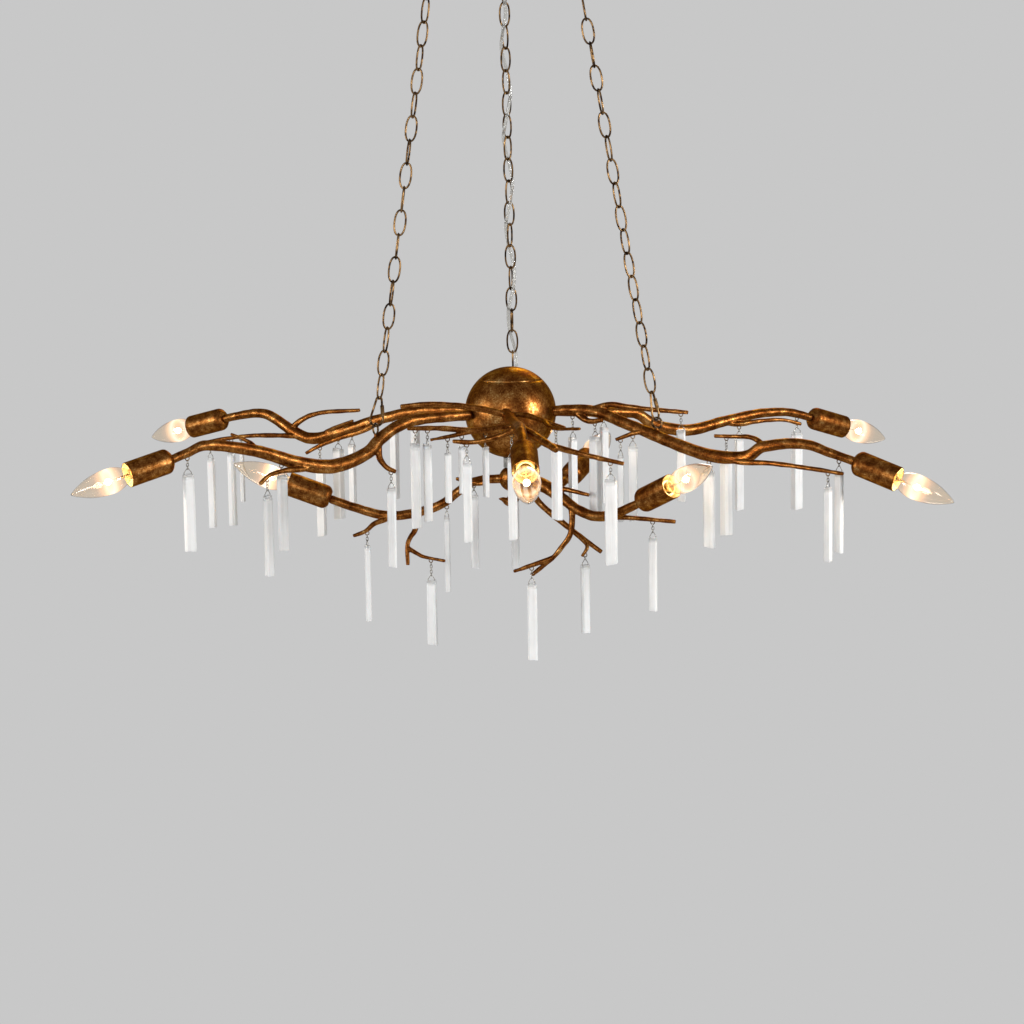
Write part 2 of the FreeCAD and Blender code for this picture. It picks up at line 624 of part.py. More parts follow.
def lowest_ring_rise(chain):
    """Height of an eye bolt's centre over the ball's centre, with its ring on the arm."""
    spot, level, radius = branch_spot(CHAIN_SEAT_SHARES[chain][0], "arm", CHAIN_SEAT_SHARES[chain][1])
    return spot.z + radius + EYE_BOLT_RADIUS


BALL_DROP = max(
    HOOK_DROP + chain_foot_depth(chain) + lowest_ring_rise(chain) for chain in CHAIN_SEAT_SHARES)
BALL_CENTRE = UP * -BALL_DROP
HUB_CENTRE = BALL_CENTRE - UP * LOWER_HUB_DROP
print("ball centre", round(BALL_DROP, 2), "below the ceiling, chains", round(CHAIN_SPAN, 2), "long")


def chain_foot(chain):
    """Centre of the eye bolt's ring."""
    arm, share = CHAIN_SEAT_SHARES[chain]
    spot = branch_spot(arm, "arm", share)[0]
    return FreeCAD.Vector(spot.x, spot.y, -HOOK_DROP - chain_foot_depth(chain))


def chain_ways(chain):
    """Upward direction along the chain, and two directions square to it."""
    rise = unit(chain_head(chain) - chain_foot(chain))
    across = unit(rise.cross(heading(CHAIN_TURN_DEGREES[chain][1])))
    return rise, across, across.cross(rise)


def link_turn(chain, k):
    """Turn of the k-th link from the bottom, the pear-shaped connector being number -1."""
    return 90 * (k % 2) + LINK_TWIST_DEGREES * max(k, 0) + 90 - CHAIN_TURN_DEGREES[chain][0]


def link_ways(chain, k):
    """Wide direction and normal of the k-th link."""
    rise, across, outward = chain_ways(chain)
    turn = math.radians(link_turn(chain, k))
    wide = across * math.cos(turn) + outward * math.sin(turn)
    return wide, rise.cross(wide)


# Arms

SEAM_RISE = SEAM_SHARE * BALL_RADIUS
BALL_BORE = STEM_RADIUS + FIT_GAP
BALL_FOOT_RISE = -math.sqrt(BALL_RADIUS ** 2 - BALL_BORE ** 2)
HUB_TOP_RISE = math.sqrt(LOWER_HUB_RADIUS ** 2 - BALL_BORE ** 2)
BALL_OUTLINE = dome(BALL_RADIUS, BALL_FOOT_RISE, SEAM_RISE, BALL_LEVELS)
HUB_OUTLINE = dome(LOWER_HUB_RADIUS, -HUB_TOP_RISE, HUB_TOP_RISE, HUB_LEVELS)


def root_space(arm):
    """The knob that an arm is welded to, a fit gap larger."""
    radius, outline, centre, sides = BALL_RADIUS, BALL_OUTLINE, BALL_CENTRE, BALL_SIDES
    if arm in LOWER_ARM_SHARES:
        radius, outline, centre, sides = LOWER_HUB_RADIUS, HUB_OUTLINE, HUB_CENTRE, HUB_SIDES
    grow = (radius + FIT_GAP) / radius
    profile = [(-radius * grow, 0)] + [(along * grow, out * grow) for along, out in outline]
    return lathe(profile + [(radius * grow, 0)], centre, UP, sides)


def socket_axis(arm):
    """Where the socket cup's back sits on the arm's end, and the way that it points."""
    bearing, droop, points = ARMS[arm][:3]
    tilt = math.radians(droop)
    way = heading(bearing) * math.cos(tilt) + UP * math.sin(tilt)
    return BALL_CENTRE + place_on(arm, points[-1]), way


def branch_solid(arm, twig, steps, sides, end_along=None):
    places = smooth_route(branch_points(arm, twig), steps)
    route = [BALL_CENTRE + FreeCAD.Vector(*place[:3]) for place in places]
    return tube(route, [place[3] for place in places], sides, end_along)


def drop_seat(arm, twig, share):
    """Spot, level direction and half height where a crystal's eye is welded."""
    if arm == "lower_hub":
        shares = FreeCAD.Vector(*HUB_DROP_SHARES)
        return HUB_CENTRE + shares * LOWER_HUB_RADIUS, heading(0), 0.0
    spot, level, radius = branch_spot(arm, twig, share)
    return BALL_CENTRE + spot, level, radius


def small_eye(spot, level, radius):
    """Gold eye welded under a twig, and the middle of its lower wire, where a drop hangs."""
    centre = spot - UP * (radius + EYE_RADIUS - EYE_WIRE / 2)
    eye = ring(centre, EYE_RADIUS, EYE_WIRE / 2, EYE_STEPS, WIRE_SIDES, level.cross(UP), UP)
    return eye, centre - UP * EYE_RADIUS


def eye_bolt(chain):
    """Ring on a short shank on top of an arm, for the foot of a chain."""
    arm, share = CHAIN_SEAT_SHARES[chain]
    centre = chain_foot(chain)
    normal = link_ways(chain, -1)[0]
    normal = unit(FreeCAD.Vector(normal.x, normal.y, 0))
    loop = ring(centre, EYE_BOLT_RADIUS, EYE_BOLT_WIRE / 2, RING_STEPS, WIRE_SIDES, normal, UP)
    spot = BALL_CENTRE + branch_spot(arm, "arm", share)[0]
    shank_top = centre - UP * EYE_BOLT_RADIUS
    shank = prism(spot, UP, EYE_BOLT_SHANK_WIRE / 2, shank_top.z - spot.z, NUT_SIDES)
    return loop.fuse(shank)


def build_arm(arm):
    """Forged arm with its twigs, crystal eyes and chain eye bolt, welded into one piece."""
    body = branch_solid(arm, "arm", ARM_STEPS, ARM_SIDES, socket_axis(arm)[1])
    pieces = []
    for twig, (girth, rows) in TWIG_SHARES.get(arm, {}).items():
        pieces.append(branch_solid(arm, twig, len(rows), TWIG_SIDES))
    for drop in DROP_SHARES:
        for row in drop:
            if row[0] == arm:
                pieces.append(small_eye(*drop_seat(*row[:3]))[0])
    for chain, seat in CHAIN_SEAT_SHARES.items():
        if seat[0] == arm:
            pieces.append(eye_bolt(chain))
    return body.multiFuse(pieces).cut(root_space(arm))


for arm in ARMS:
    save(build_arm(arm), arm)


# Socket cups, lamp holders and bulbs

def build_cup(origin, axis):
    """Turned cup with a bevelled base."""
    inside = CUP_RADIUS - CUP_WALL
    profile = (
        (0, 0), (0, CUP_BASE_RADIUS), (CUP_BASE_RISE, CUP_RADIUS), (CUP_LENGTH, CUP_RADIUS),
        (CUP_LENGTH, inside), (CUP_FLOOR, inside), (CUP_FLOOR, 0),
    )
    return lathe(profile, origin, axis, CUP_SIDES)


def build_holder(origin, axis):
    """Candelabra lamp holder standing on the cup's floor."""
    bore = BULB_CAP_RADIUS + FIT_GAP
    bore_floor = HOLDER_LENGTH - BULB_SEAT_DEPTH
    profile = (
        (0, 0), (0, HOLDER_RADIUS), (HOLDER_LENGTH, HOLDER_RADIUS), (HOLDER_LENGTH, bore),
        (bore_floor, bore), (bore_floor, 0),
    )
    return lathe(profile, origin + axis * CUP_FLOOR, axis, HOLDER_SIDES)


def build_bulb(origin, axis):
    """Flame bulb: glass envelope and the brass cap that screws into the holder."""
    base = origin + axis * (CUP_FLOOR + HOLDER_LENGTH - BULB_SEAT_DEPTH)
    cap = prism(base, axis, BULB_CAP_RADIUS, BULB_CAP_LENGTH, HOLDER_SIDES)
    profile = [(along * BULB_LENGTH, radius * BULB_RADIUS) for along, radius in BULB_OUTLINE_SHARES]
    return [lathe(profile, base, axis, BULB_SIDES), cap]


SOCKETS = [socket_axis(arm) for arm in ARMS]
save(group([build_cup(*socket) for socket in SOCKETS]), "socket_cups")
save(group([build_holder(*socket) for socket in SOCKETS]), "lamp_holders")
save(group([solid for socket in SOCKETS for solid in build_bulb(*socket)]), "bulbs")


# Ball, cap, stem and lower hub

BALL_INNER_RADIUS = BALL_RADIUS - BALL_WALL
NUT_SEAT_RADIUS = NUT_RADIUS + NUT_SEAT_MARGIN
NUT_SEAT_RISE = -math.sqrt(BALL_INNER_RADIUS ** 2 - NUT_SEAT_RADIUS ** 2)
STEM_FOOT_RISE = LOWER_HUB_RADIUS / 2


def inlet_way():
    """Direction out of the ball through the power cord's inlet."""
    tilt = math.radians(INLET_TILT_DEGREES)
    return heading(INLET_BEARING_DEGREES) * math.cos(tilt) + UP * math.sin(tilt)


def build_ball():
    """Hollow ball below the seam, with the stem's hole and the cord's inlet."""
    inner = dome(BALL_INNER_RADIUS, NUT_SEAT_RISE, SEAM_RISE, BALL_INSIDE_LEVELS)
    profile = BALL_OUTLINE + inner[::-1] + [(NUT_SEAT_RISE, BALL_BORE)]
    cord_hole = prism(BALL_CENTRE + inlet_way() * (BALL_RADIUS / 2), inlet_way(),
                      BUSHING_RADIUS + FIT_GAP, BALL_RADIUS, HOLE_SIDES)
    return lathe(profile, BALL_CENTRE, UP, BALL_SIDES).cut(cord_hole)


def build_ball_cap():
    """Domed cap that closes the ball, with a lip that drops inside its rim."""
    seam_radius = math.sqrt(BALL_INNER_RADIUS ** 2 - SEAM_RISE ** 2)
    lip_outside = seam_radius - FIT_GAP
    lip_inside = lip_outside - CAP_LIP_WALL
    lip_top = math.sqrt(BALL_INNER_RADIUS ** 2 - lip_inside ** 2)
    outer = dome(BALL_RADIUS, SEAM_RISE, BALL_RADIUS, CAP_LEVELS)[:-1] + [(BALL_RADIUS, 0)]
    inner = dome(BALL_INNER_RADIUS, lip_top, BALL_INNER_RADIUS, CAP_LEVELS)[:-1]
    lip_foot = SEAM_RISE - CAP_LIP_DEPTH
    profile = outer + [(BALL_INNER_RADIUS, 0)] + inner[::-1] + [
        (lip_foot, lip_inside), (lip_foot, lip_outside), (SEAM_RISE, lip_outside)]
    return lathe(profile, BALL_CENTRE, UP, BALL_SIDES)


def sleeve(foot, axis, bore, radius, length, sides):
    """Round sleeve with a hole along it."""
    return lathe(((0, bore), (0, radius), (length, radius), (length, bore)), foot, axis, sides)


def build_stem():
    """Threaded stem, its nut inside the ball, and the collar between ball and hub."""
    top = NUT_SEAT_RISE + NUT_HEIGHT + STEM_PROUD
    foot = STEM_FOOT_RISE - LOWER_HUB_DROP
    stem = sleeve(BALL_CENTRE + UP * foot, UP, STEM_BORE, STEM_RADIUS, top - foot, STEM_SIDES)
    nut_foot = BALL_CENTRE + UP * NUT_SEAT_RISE
    nut = prism(nut_foot, UP, NUT_RADIUS, NUT_HEIGHT, NUT_SIDES).cut(
        prism(nut_foot, UP, BALL_BORE, NUT_HEIGHT, STEM_SIDES))
    collar_foot = HUB_TOP_RISE - LOWER_HUB_DROP
    collar = sleeve(BALL_CENTRE + UP * collar_foot, UP, BALL_BORE, NUT_RADIUS,
                    BALL_FOOT_RISE - collar_foot, STEM_SIDES)
    return group([stem, nut, collar])


def build_lower_hub():
    """Small ball that the lower arms are welded to, with its leaf and a crystal's eye."""
    profile = [(-HUB_TOP_RISE, 0)] + HUB_OUTLINE + [(STEM_FOOT_RISE, BALL_BORE), (STEM_FOOT_RISE, 0)]
    knob = lathe(profile, HUB_CENTRE, UP, HUB_SIDES)
    points = []
    for k, shares in enumerate(HUB_LEAF_SHARES):
        place = HUB_CENTRE + FreeCAD.Vector(*shares) * LOWER_HUB_RADIUS
        taper = 1 - k / len(HUB_LEAF_SHARES)
        points.append(tuple(place) + (HUB_LEAF_GIRTH_SHARE * LOWER_HUB_RADIUS * taper,))
    places = smooth_route(points, HUB_LEAF_STEPS)
    route = [FreeCAD.Vector(*place[:3]) for place in places]
    leaf = tube(route, [place[3] for place in places], TWIG_SIDES)
    eye = small_eye(*drop_seat("lower_hub", "hub", 0.0))[0]
    return knob.multiFuse([leaf, eye])


save(build_ball(), "ball")
save(build_ball_cap(), "ball_cap")
save(build_stem(), "ball_stem")
save(build_lower_hub(), "lower_hub")


# Ceiling bracket, canopy, hooks and screws

CANOPY_FLOOR = -CANOPY_DEPTH
STUD_REACH = BRACKET_LENGTH / 2 - STUD_END_INSET
STUD_PLACES = [heading(0) * STUD_REACH, heading(0) * -STUD_REACH]
SCREW_PLACES = [heading(0) * (BOX_SCREW_SPACING / 2), heading(0) * (-BOX_SCREW_SPACING / 2)]
HOOK_PLACES = [heading(bearing) * HOOK_CIRCLE_RADIUS for turn, bearing in CHAIN_TURN_DEGREES.values()]
REARWARD = heading(CHAIN_TURN_DEGREES["chain_back"][1])
CORD_EXIT = REARWARD * (HOOK_CIRCLE_RADIUS - CORD_EXIT_INSET) + UP * CANOPY_FLOOR


def drill(shape, places, radius, depth):
    """Holes through a shape, from the ceiling down to a depth."""
    for place in places:
        foot = FreeCAD.Vector(place.x, place.y, -depth)
        shape = shape.cut(prism(foot, UP, radius, depth, HOLE_SIDES))
    return shape


def build_bracket():
    """Flat steel crossbar under the ceiling box."""
    corner = FreeCAD.Vector(-BRACKET_LENGTH / 2, -BRACKET_WIDTH / 2, -BRACKET_THICKNESS)
    bar = Part.makeBox(BRACKET_LENGTH, BRACKET_WIDTH, BRACKET_THICKNESS, corner)
    for place in SCREW_PLACES:
        foot = place - UP * BRACKET_THICKNESS
        bar = bar.cut(Part.makeCylinder(BOX_SCREW_HOLE_RADIUS, BRACKET_THICKNESS, foot))
    bar = drill(bar, [ORIGIN], CENTRE_BORE_RADIUS, BRACKET_THICKNESS)
    return drill(bar, STUD_PLACES, STUD_RADIUS + FIT_GAP, BRACKET_THICKNESS)


def build_canopy():
    """Spun pan with a soft bend between its wall and its flat face."""
    inside = CANOPY_RADIUS - CANOPY_WALL
    bend = CANOPY_DEPTH - CANOPY_BEND
    inner_face = CANOPY_DEPTH - CANOPY_WALL
    profile = (
        (0, inside), (0, CANOPY_RADIUS), (bend, CANOPY_RADIUS),
        (CANOPY_DEPTH, CANOPY_RADIUS - CANOPY_BEND), (CANOPY_DEPTH, 0),
        (inner_face, 0), (inner_face, inside - CANOPY_BEND), (bend, inside),
    )
    pan = lathe(profile, ORIGIN, -UP, CANOPY_SIDES)
    cut_depth = CANOPY_DEPTH + CANOPY_WALL
    pan = drill(pan, STUD_PLACES, STUD_RADIUS + STUD_HOLE_PLAY, cut_depth)
    pan = drill(pan, HOOK_PLACES, HOOK_WIRE / 2 + FIT_GAP, cut_depth)
    return drill(pan, [CORD_EXIT], BUSHING_RADIUS + FIT_GAP, cut_depth)


def build_hook(chain):
    """Closed hook with a collar below the canopy and a nut above it."""
    centre = chain_head(chain) + UP * HOOK_RING_RADIUS
    normal = link_ways(chain, LINK_COUNT - 1)[0]
    normal = unit(FreeCAD.Vector(normal.x, normal.y, 0))
    loop = ring(centre, HOOK_RING_RADIUS, HOOK_WIRE / 2, RING_STEPS, WIRE_SIDES, normal, UP)
    shank_foot = centre + UP * HOOK_RING_RADIUS
    at_canopy = FreeCAD.Vector(centre.x, centre.y, CANOPY_FLOOR)
    nut_foot = at_canopy + UP * CANOPY_WALL
    shank = prism(shank_foot, UP, HOOK_WIRE / 2, nut_foot.z + NUT_HEIGHT - shank_foot.z, NUT_SIDES)
    collar = prism(at_canopy, -UP, HOOK_COLLAR_RADIUS, HOOK_COLLAR_HEIGHT, HOLE_SIDES)
    nut = prism(nut_foot, UP, HOOK_COLLAR_RADIUS, NUT_HEIGHT, NUT_SIDES)
    return loop.multiFuse([shank, collar, nut])


def build_stud(place):
    """Long screw from the bracket, through the canopy, into a round nut."""
    head = place + UP * CANOPY_FLOOR
    screw = prism(head, UP, STUD_RADIUS, CANOPY_DEPTH, HOLE_SIDES)
    half_height = BALL_NUT_RADIUS / 2
    swell = dome(BALL_NUT_RADIUS, -half_height, half_height, BALL_NUT_LEVELS)
    profile = [(0, 0), (0, BALL_NUT_FACE_RADIUS)] + [(BALL_NUT_RADIUS + rise, out) for rise, out in swell]
    profile += [(2 * BALL_NUT_RADIUS, BALL_NUT_FACE_RADIUS), (2 * BALL_NUT_RADIUS, 0)]
    nut = lathe(profile, head, -UP, HOLE_SIDES)
    lock = prism(place - UP * BRACKET_THICKNESS, -UP, LOCK_NUT_RADIUS, NUT_HEIGHT, NUT_SIDES)
    return screw.multiFuse([nut, lock])


save(build_bracket(), "ceiling_bracket")
save(build_canopy(), "canopy")
save(group([build_hook(chain) for chain in CHAIN_SEAT_SHARES]), "canopy_hooks")
save(group([build_stud(place) for place in STUD_PLACES]), "canopy_screws")


# Chains and their lower connectors

def build_chain(chain):
    """Oval links, each a quarter turn from the next, with a slow twist."""
    rise = chain_ways(chain)[0]
    links = []
    for k in range(LINK_COUNT):
        wide, normal = link_ways(chain, k)
        centre = chain_foot(chain) + rise * (FIRST_LINK + LINK_LOOP / 2 + LINK_PITCH * k)
        route = oval(centre, rise, wide, LINK_LOOP, LINK_WIDTH - LINK_WIRE, LINK_END_STEPS)
        links.append(wire_loop(route, LINK_WIRE / 2, WIRE_SIDES, normal))
    return group(links)


def build_pear(chain):
    """Pear-shaped connector with its screw gate on one side."""
    rise = chain_ways(chain)[0]
    wide, normal = link_ways(chain, -1)
    centre = chain_foot(chain) + rise * (PEAR_FOOT + PEAR_LOOP / 2)
    route = oval(centre, rise, wide, PEAR_LOOP, PEAR_BOTTOM_WIDTH - PEAR_WIRE, LINK_END_STEPS,
                 PEAR_TOP_WIDTH - PEAR_WIRE)
    way = unit(route[0] - route[-1])
    gate_foot = (route[0] + route[-1]) / 2 - way * (PEAR_GATE_LENGTH / 2)
    gate = prism(gate_foot, way, PEAR_GATE_WIRE / 2, PEAR_GATE_LENGTH, NUT_SIDES)
    return wire_loop(route, PEAR_WIRE / 2, WIRE_SIDES, normal).fuse(gate)


for chain in CHAIN_SEAT_SHARES:
    save(build_chain(chain), chain)
save(group([build_pear(chain) for chain in CHAIN_SEAT_SHARES]), "chain_connectors")


# Power cord and its bushings

def cord_points():
    """From the canopy, round the rear chain in its corners, and over to the ball."""
    rise, across, outward = chain_ways("chain_back")
    first = LINK_COUNT - 2
    points = [CORD_EXIT + REARWARD * out + UP * up for out, up in CORD_HEAD_PLACES]
    for half in range(CORD_HALF_LINKS):
        k = first - half / 2
        turn = math.radians(link_turn("chain_back", first) + 90 + (90 - LINK_TWIST_DEGREES) * half / 2)
        offset = CORD_CORNER_OFFSET * math.sqrt(2) if half % 2 else CORD_SIDE_OFFSET
        spot = chain_foot("chain_back") + rise * (FIRST_LINK + LINK_LOOP / 2 + LINK_PITCH * k)
        points.append(spot + (across * math.cos(turn) + outward * math.sin(turn)) * offset)
    inlet = BALL_CENTRE + inlet_way() * (BALL_RADIUS + CORD_INLET_RUN)
    slack = chain_foot("chain_back") - inlet
    for along, right, up in CORD_TAIL_SHARES:
        points.append(inlet + slack * along + (heading(0) * right + UP * up) * slack.Length)
    points.append(inlet)
    points.append(BALL_CENTRE + inlet_way() * (BALL_RADIUS - CORD_INSIDE_RUN))
    return points


def build_cord():
    """Cord on straight runs joined by tangent arcs."""
    points = cord_points()
    start = points[0]
    edges = []
    radii = []
    for before, corner, after in zip(points, points[1:], points[2:]):
        arriving, leaving = unit(corner - before), unit(after - corner)
        half_turn = arriving.getAngle(leaving) / 2
        setback = CORD_BEND_SHARE * min((corner - before).Length, (after - corner).Length)
        radii.append(setback / math.tan(half_turn))
        bulge = radii[-1] * (1 / math.cos(half_turn) - 1)
        arc_start, arc_end = corner - arriving * setback, corner + leaving * setback
        edges.append(Part.LineSegment(start, arc_start).toShape())
        edges.append(Part.Arc(arc_start, corner + unit(leaving - arriving) * bulge, arc_end).toShape())
        start = arc_end
    edges.append(Part.LineSegment(start, points[-1]).toShape())
    path = Part.Wire(edges)
    way = unit(points[1] - points[0])
    side = across_from(way)
    girth = corner_radius(CORD_DIAMETER / 2, CORD_SIDES)
    corners = polygon_at(points[0], side, way.cross(side), girth, CORD_SIDES)
    section = Part.makePolygon(corners + corners[:1])
    cord = path.makePipeShell([section], True, False)
    area = math.pi * (CORD_DIAMETER / 2) ** 2
    print("cord length", round(path.Length, 1), "least bend radius", round(min(radii), 1),
          "volume over section times length", round(cord.Volume / (area * path.Length), 4))
    return cord


def build_bushing(place, way, depth):
    """Flanged sleeve in a wall, round the cord."""
    bore = corner_radius(CORD_DIAMETER / 2, CORD_SIDES) / math.cos(math.pi / HOLE_SIDES) + FIT_GAP / 2
    profile = (
        (-depth, bore), (-depth, BUSHING_RADIUS), (0, BUSHING_RADIUS), (0, BUSHING_FLANGE_RADIUS),
        (BUSHING_FLANGE, BUSHING_FLANGE_RADIUS), (BUSHING_FLANGE, bore),
    )
    return lathe(profile, place, way, HOLE_SIDES)


save(build_cord(), "power_cord")
save(group([
    build_bushing(CORD_EXIT, -UP, CANOPY_WALL + BUSHING_TAIL),
    build_bushing(BALL_CENTRE + inlet_way() * BALL_RADIUS, inlet_way(), BALL_WALL + BUSHING_TAIL),
]), "cord_bushings")


# Crystal drops

def build_crystal(top, wide, deep, length, width):
    """Selenite stick with sloping ends."""
    half_width, half_depth = width / 2, width / 2 * CRYSTAL_DEPTH_SHARE
    rings = []
    for level, slope in ((-length, -CRYSTAL_SLANT_SHARE), (0, CRYSTAL_SLANT_SHARE)):
        corners = []
        for across, through in CRYSTAL_SECTION_SHARES:
            rise = level + slope * half_width * (across + through * CRYSTAL_DEPTH_SHARE)
            corners.append(top + wide * (across * half_width) + deep * (through * half_depth) + UP * rise)
        rings.append(corners)
    return solid_of([facet(rings[0][::-1]), facet(rings[1])] + skin(rings))


def build_drop_parts(row):
    """Small links, bail and stick below one eye, with the hinge point on the eye."""
    arm, twig, share, link_count, length_share, width_share = row
    spot, level, radius = drop_seat(arm, twig, share)
    hinge = small_eye(spot, level, radius)[1]
    ways = (level.cross(UP), level)
    link_reach = wire_reach(SMALL_LINK_WIRE, SMALL_SIDES)
    half_loop = (SMALL_LINK_LENGTH - SMALL_LINK_WIRE) / 2
    half_wide = (SMALL_LINK_WIDTH - SMALL_LINK_WIRE) / 2
    top = hinge + UP * (wire_reach(EYE_WIRE, WIRE_SIDES) + SMALL_PLAY + link_reach)
    solids = []
    for k in range(link_count):
        wide, normal = ways[k % 2], ways[(k + 1) % 2]
        centre = top - UP * half_loop
        route = [centre + wide * (half_wide * a) + UP * (half_loop * b)
                 for a, b in ((1, 1), (-1, 1), (-1, -1), (1, -1))]
        solids.append(wire_loop(route, SMALL_LINK_WIRE / 2, SMALL_SIDES, normal))
        top = centre - UP * (half_loop - 2 * link_reach - SMALL_PLAY)
    wide, deep = ways[link_count % 2], ways[(link_count + 1) % 2]
    length, width = length_share * CRYSTAL_LENGTH, width_share * CRYSTAL_WIDTH
    crystal_top = top - UP * BAIL_RISE
    pin = crystal_top - UP * BAIL_PIN_DEPTH
    foot_out = width / 2 + BAIL_SIDE_GAP
    half = [pin + wide * (foot_out - BAIL_PIN_LENGTH), pin + wide * foot_out,
            top + wide * (BAIL_TOP_WIDTH / 2)]
    other_half = [point - wide * (2 * (point - pin).dot(wide)) for point in half]
    route = half + other_half[::-1]
    solids.append(tube(route, [BAIL_WIRE / 2] * len(route), SMALL_SIDES))
    pin_hole = prism(pin - wide * foot_out, wide, BAIL_WIRE, 2 * foot_out, SMALL_SIDES)
    crystal = build_crystal(crystal_top, wide, deep, length, width)
    solids.append(crystal.cut(pin_hole))
    return solids, hinge, level


for number, drop in enumerate(DROP_SHARES, start=1):
    solids = []
    for row in drop:
        solids.extend(build_drop_parts(row)[0])
    save(group(solids), "crystal_drop_%02d" % number)
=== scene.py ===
# %% [markdown]
# # A branch chandelier
#
# The real object is a ball with six forged branches, three more branches on a small hub
# below it, nine candle lamps, three chains and forty-one sticks of raw selenite. The CAD
# solids give every place and size. This lesson dresses them: round wire where the solids
# have facets, welds that flow into each other, gold leaf, glass and crystal.

# %% Load the frame
import bmesh
import bpy
import json
import math
import random
import numpy as np
from collections import namedtuple
from mathutils import Matrix, Vector, noise


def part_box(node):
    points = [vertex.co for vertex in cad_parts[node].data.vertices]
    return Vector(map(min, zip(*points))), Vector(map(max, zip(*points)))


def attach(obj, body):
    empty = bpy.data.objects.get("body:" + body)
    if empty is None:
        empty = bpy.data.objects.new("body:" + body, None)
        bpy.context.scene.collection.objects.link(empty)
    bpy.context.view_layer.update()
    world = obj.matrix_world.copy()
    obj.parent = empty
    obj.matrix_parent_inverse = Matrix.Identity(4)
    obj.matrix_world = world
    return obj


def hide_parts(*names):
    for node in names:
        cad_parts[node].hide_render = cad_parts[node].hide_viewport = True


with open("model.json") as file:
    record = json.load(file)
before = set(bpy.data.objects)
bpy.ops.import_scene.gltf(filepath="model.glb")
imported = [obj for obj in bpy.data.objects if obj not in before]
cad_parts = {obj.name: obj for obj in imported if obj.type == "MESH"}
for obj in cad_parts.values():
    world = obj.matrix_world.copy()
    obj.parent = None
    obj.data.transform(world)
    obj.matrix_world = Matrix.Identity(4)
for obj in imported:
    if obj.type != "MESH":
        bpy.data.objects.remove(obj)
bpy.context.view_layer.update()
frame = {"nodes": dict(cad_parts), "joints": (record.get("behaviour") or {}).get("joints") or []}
nodes = frame["nodes"]
joints = frame["joints"]
MM = 0.001
UP = Vector((0, 0, 1))

# %% [markdown]
# ## The camera
#
# The picture was taken from about 3.5 m away with a long lens, a little above the branches
# and looking slightly down, with the camera leaning by about one degree. The ball's centre
# is the point to aim from, because it is the one place that the picture shows exactly.

# %% Set up the camera
def new_object(name, data):
    """Object of this data, linked to the scene."""
    made = bpy.data.objects.new(name, data)
    bpy.context.scene.collection.objects.link(made)
    return made


PICTURE_SIDE = 1024
FOCAL_PIXELS = 2713
CAMERA_PITCH = math.radians(-8.178)
CAMERA_LEAN = math.radians(-0.9)
ball_low, ball_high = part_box("ball")
BALL_RADIUS = (ball_high[0] - ball_low[0]) / 2
ball_centre = Vector((0, 0, ball_low[2] + BALL_RADIUS))
camera_data = bpy.data.cameras.new("camera")
camera_data.angle = 2 * math.atan(PICTURE_SIDE / 2 / FOCAL_PIXELS)
camera = new_object("camera", camera_data)
CAMERA_PLACE = ball_centre + Vector((-0.0001, -3.510, 0.3731))
ahead = Vector((0, math.cos(CAMERA_PITCH), math.sin(CAMERA_PITCH)))
level_up = Vector((0, -math.sin(CAMERA_PITCH), math.cos(CAMERA_PITCH)))
level_right = Vector((1, 0, 0))
right = level_right * math.cos(CAMERA_LEAN) + level_up * math.sin(CAMERA_LEAN)
upward = level_up * math.cos(CAMERA_LEAN) - level_right * math.sin(CAMERA_LEAN)
turn = Matrix((right, upward, -ahead)).transposed().to_4x4()
camera.matrix_world = Matrix.Translation(CAMERA_PLACE) @ turn
bpy.context.scene.camera = camera
print("ball radius", round(BALL_RADIUS, 4), "centre", [round(v, 4) for v in ball_centre])

# %% [markdown]
# ## Reading the solids
#
# A CAD node can hold several solids, such as the nine bulbs. Each solid's corners give its
# middle and its long, wide and thin directions, and everything below is placed by those.

# %% Split a node into its solids
def welded(node):
    """A CAD node's mesh with its corners joined."""
    net = bmesh.new()
    net.from_mesh(nodes[node].data)
    bmesh.ops.remove_doubles(net, verts=net.verts, dist=0.001 * MM)
    return net


def solids_of(node):
    """Corner points of each separate solid of a node."""
    net = welded(node)
    seen, groups = set(), []
    for start in net.verts:
        if start in seen:
            continue
        seen.add(start)
        group = [start]
        for corner in group:
            for edge in corner.link_edges:
                other = edge.other_vert(corner)
                if other not in seen:
                    seen.add(other)
                    group.append(other)
        groups.append(np.array([corner.co[:] for corner in group]))
    net.free()
    return groups


def ways_of(points):
    """Middle of a solid and its directions, longest first."""
    middle = (points.max(axis=0) + points.min(axis=0)) / 2
    ways = np.linalg.svd(points - points.mean(axis=0), full_matrices=False)[2]
    for _ in range(2):
        spans = [(points - middle) @ way for way in ways]
        middle = middle + sum(way * (span.max() + span.min()) / 2 for way, span in zip(ways, spans))
    return Vector(middle), [Vector(way) for way in ways]


def level(way):
    """Level direction nearest to another."""
    return Vector((way.x, way.y, 0)).normalized()


def reach_along(points, place, way):
    """Lowest and highest reach of a solid along a direction, from a place."""
    spans = (points - np.array(place)) @ np.array(way)
    return float(spans.min()), float(spans.max())


def standing(place, way):
    """Placement whose local Z runs along a direction."""
    return Matrix.Translation(place) @ Vector(way).to_track_quat("Z", "Y").to_matrix().to_4x4()


print("chain solids", len(solids_of("chain_left")), "cups", len(solids_of("socket_cups")))

# %% [markdown]
# ## Making pieces
#
# Three kinds of shape cover almost everything: turned shells, bent wire, and meshes written
# point by point. The helpers for them come where they are first needed. One helper serves
# every piece: it lets the piece ride on its body and hides the CAD node it stands for.

# %% Give a piece its body and its finish, and hide its CAD node
def finish_piece(piece, body, node, finish):
    """Gives a piece its body and its finish, and hides the CAD node it stands for."""
    if finish is not None:
        piece.data.materials.clear()
        piece.data.materials.append(finish)
    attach(piece, body)
    if node:
        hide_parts(node)


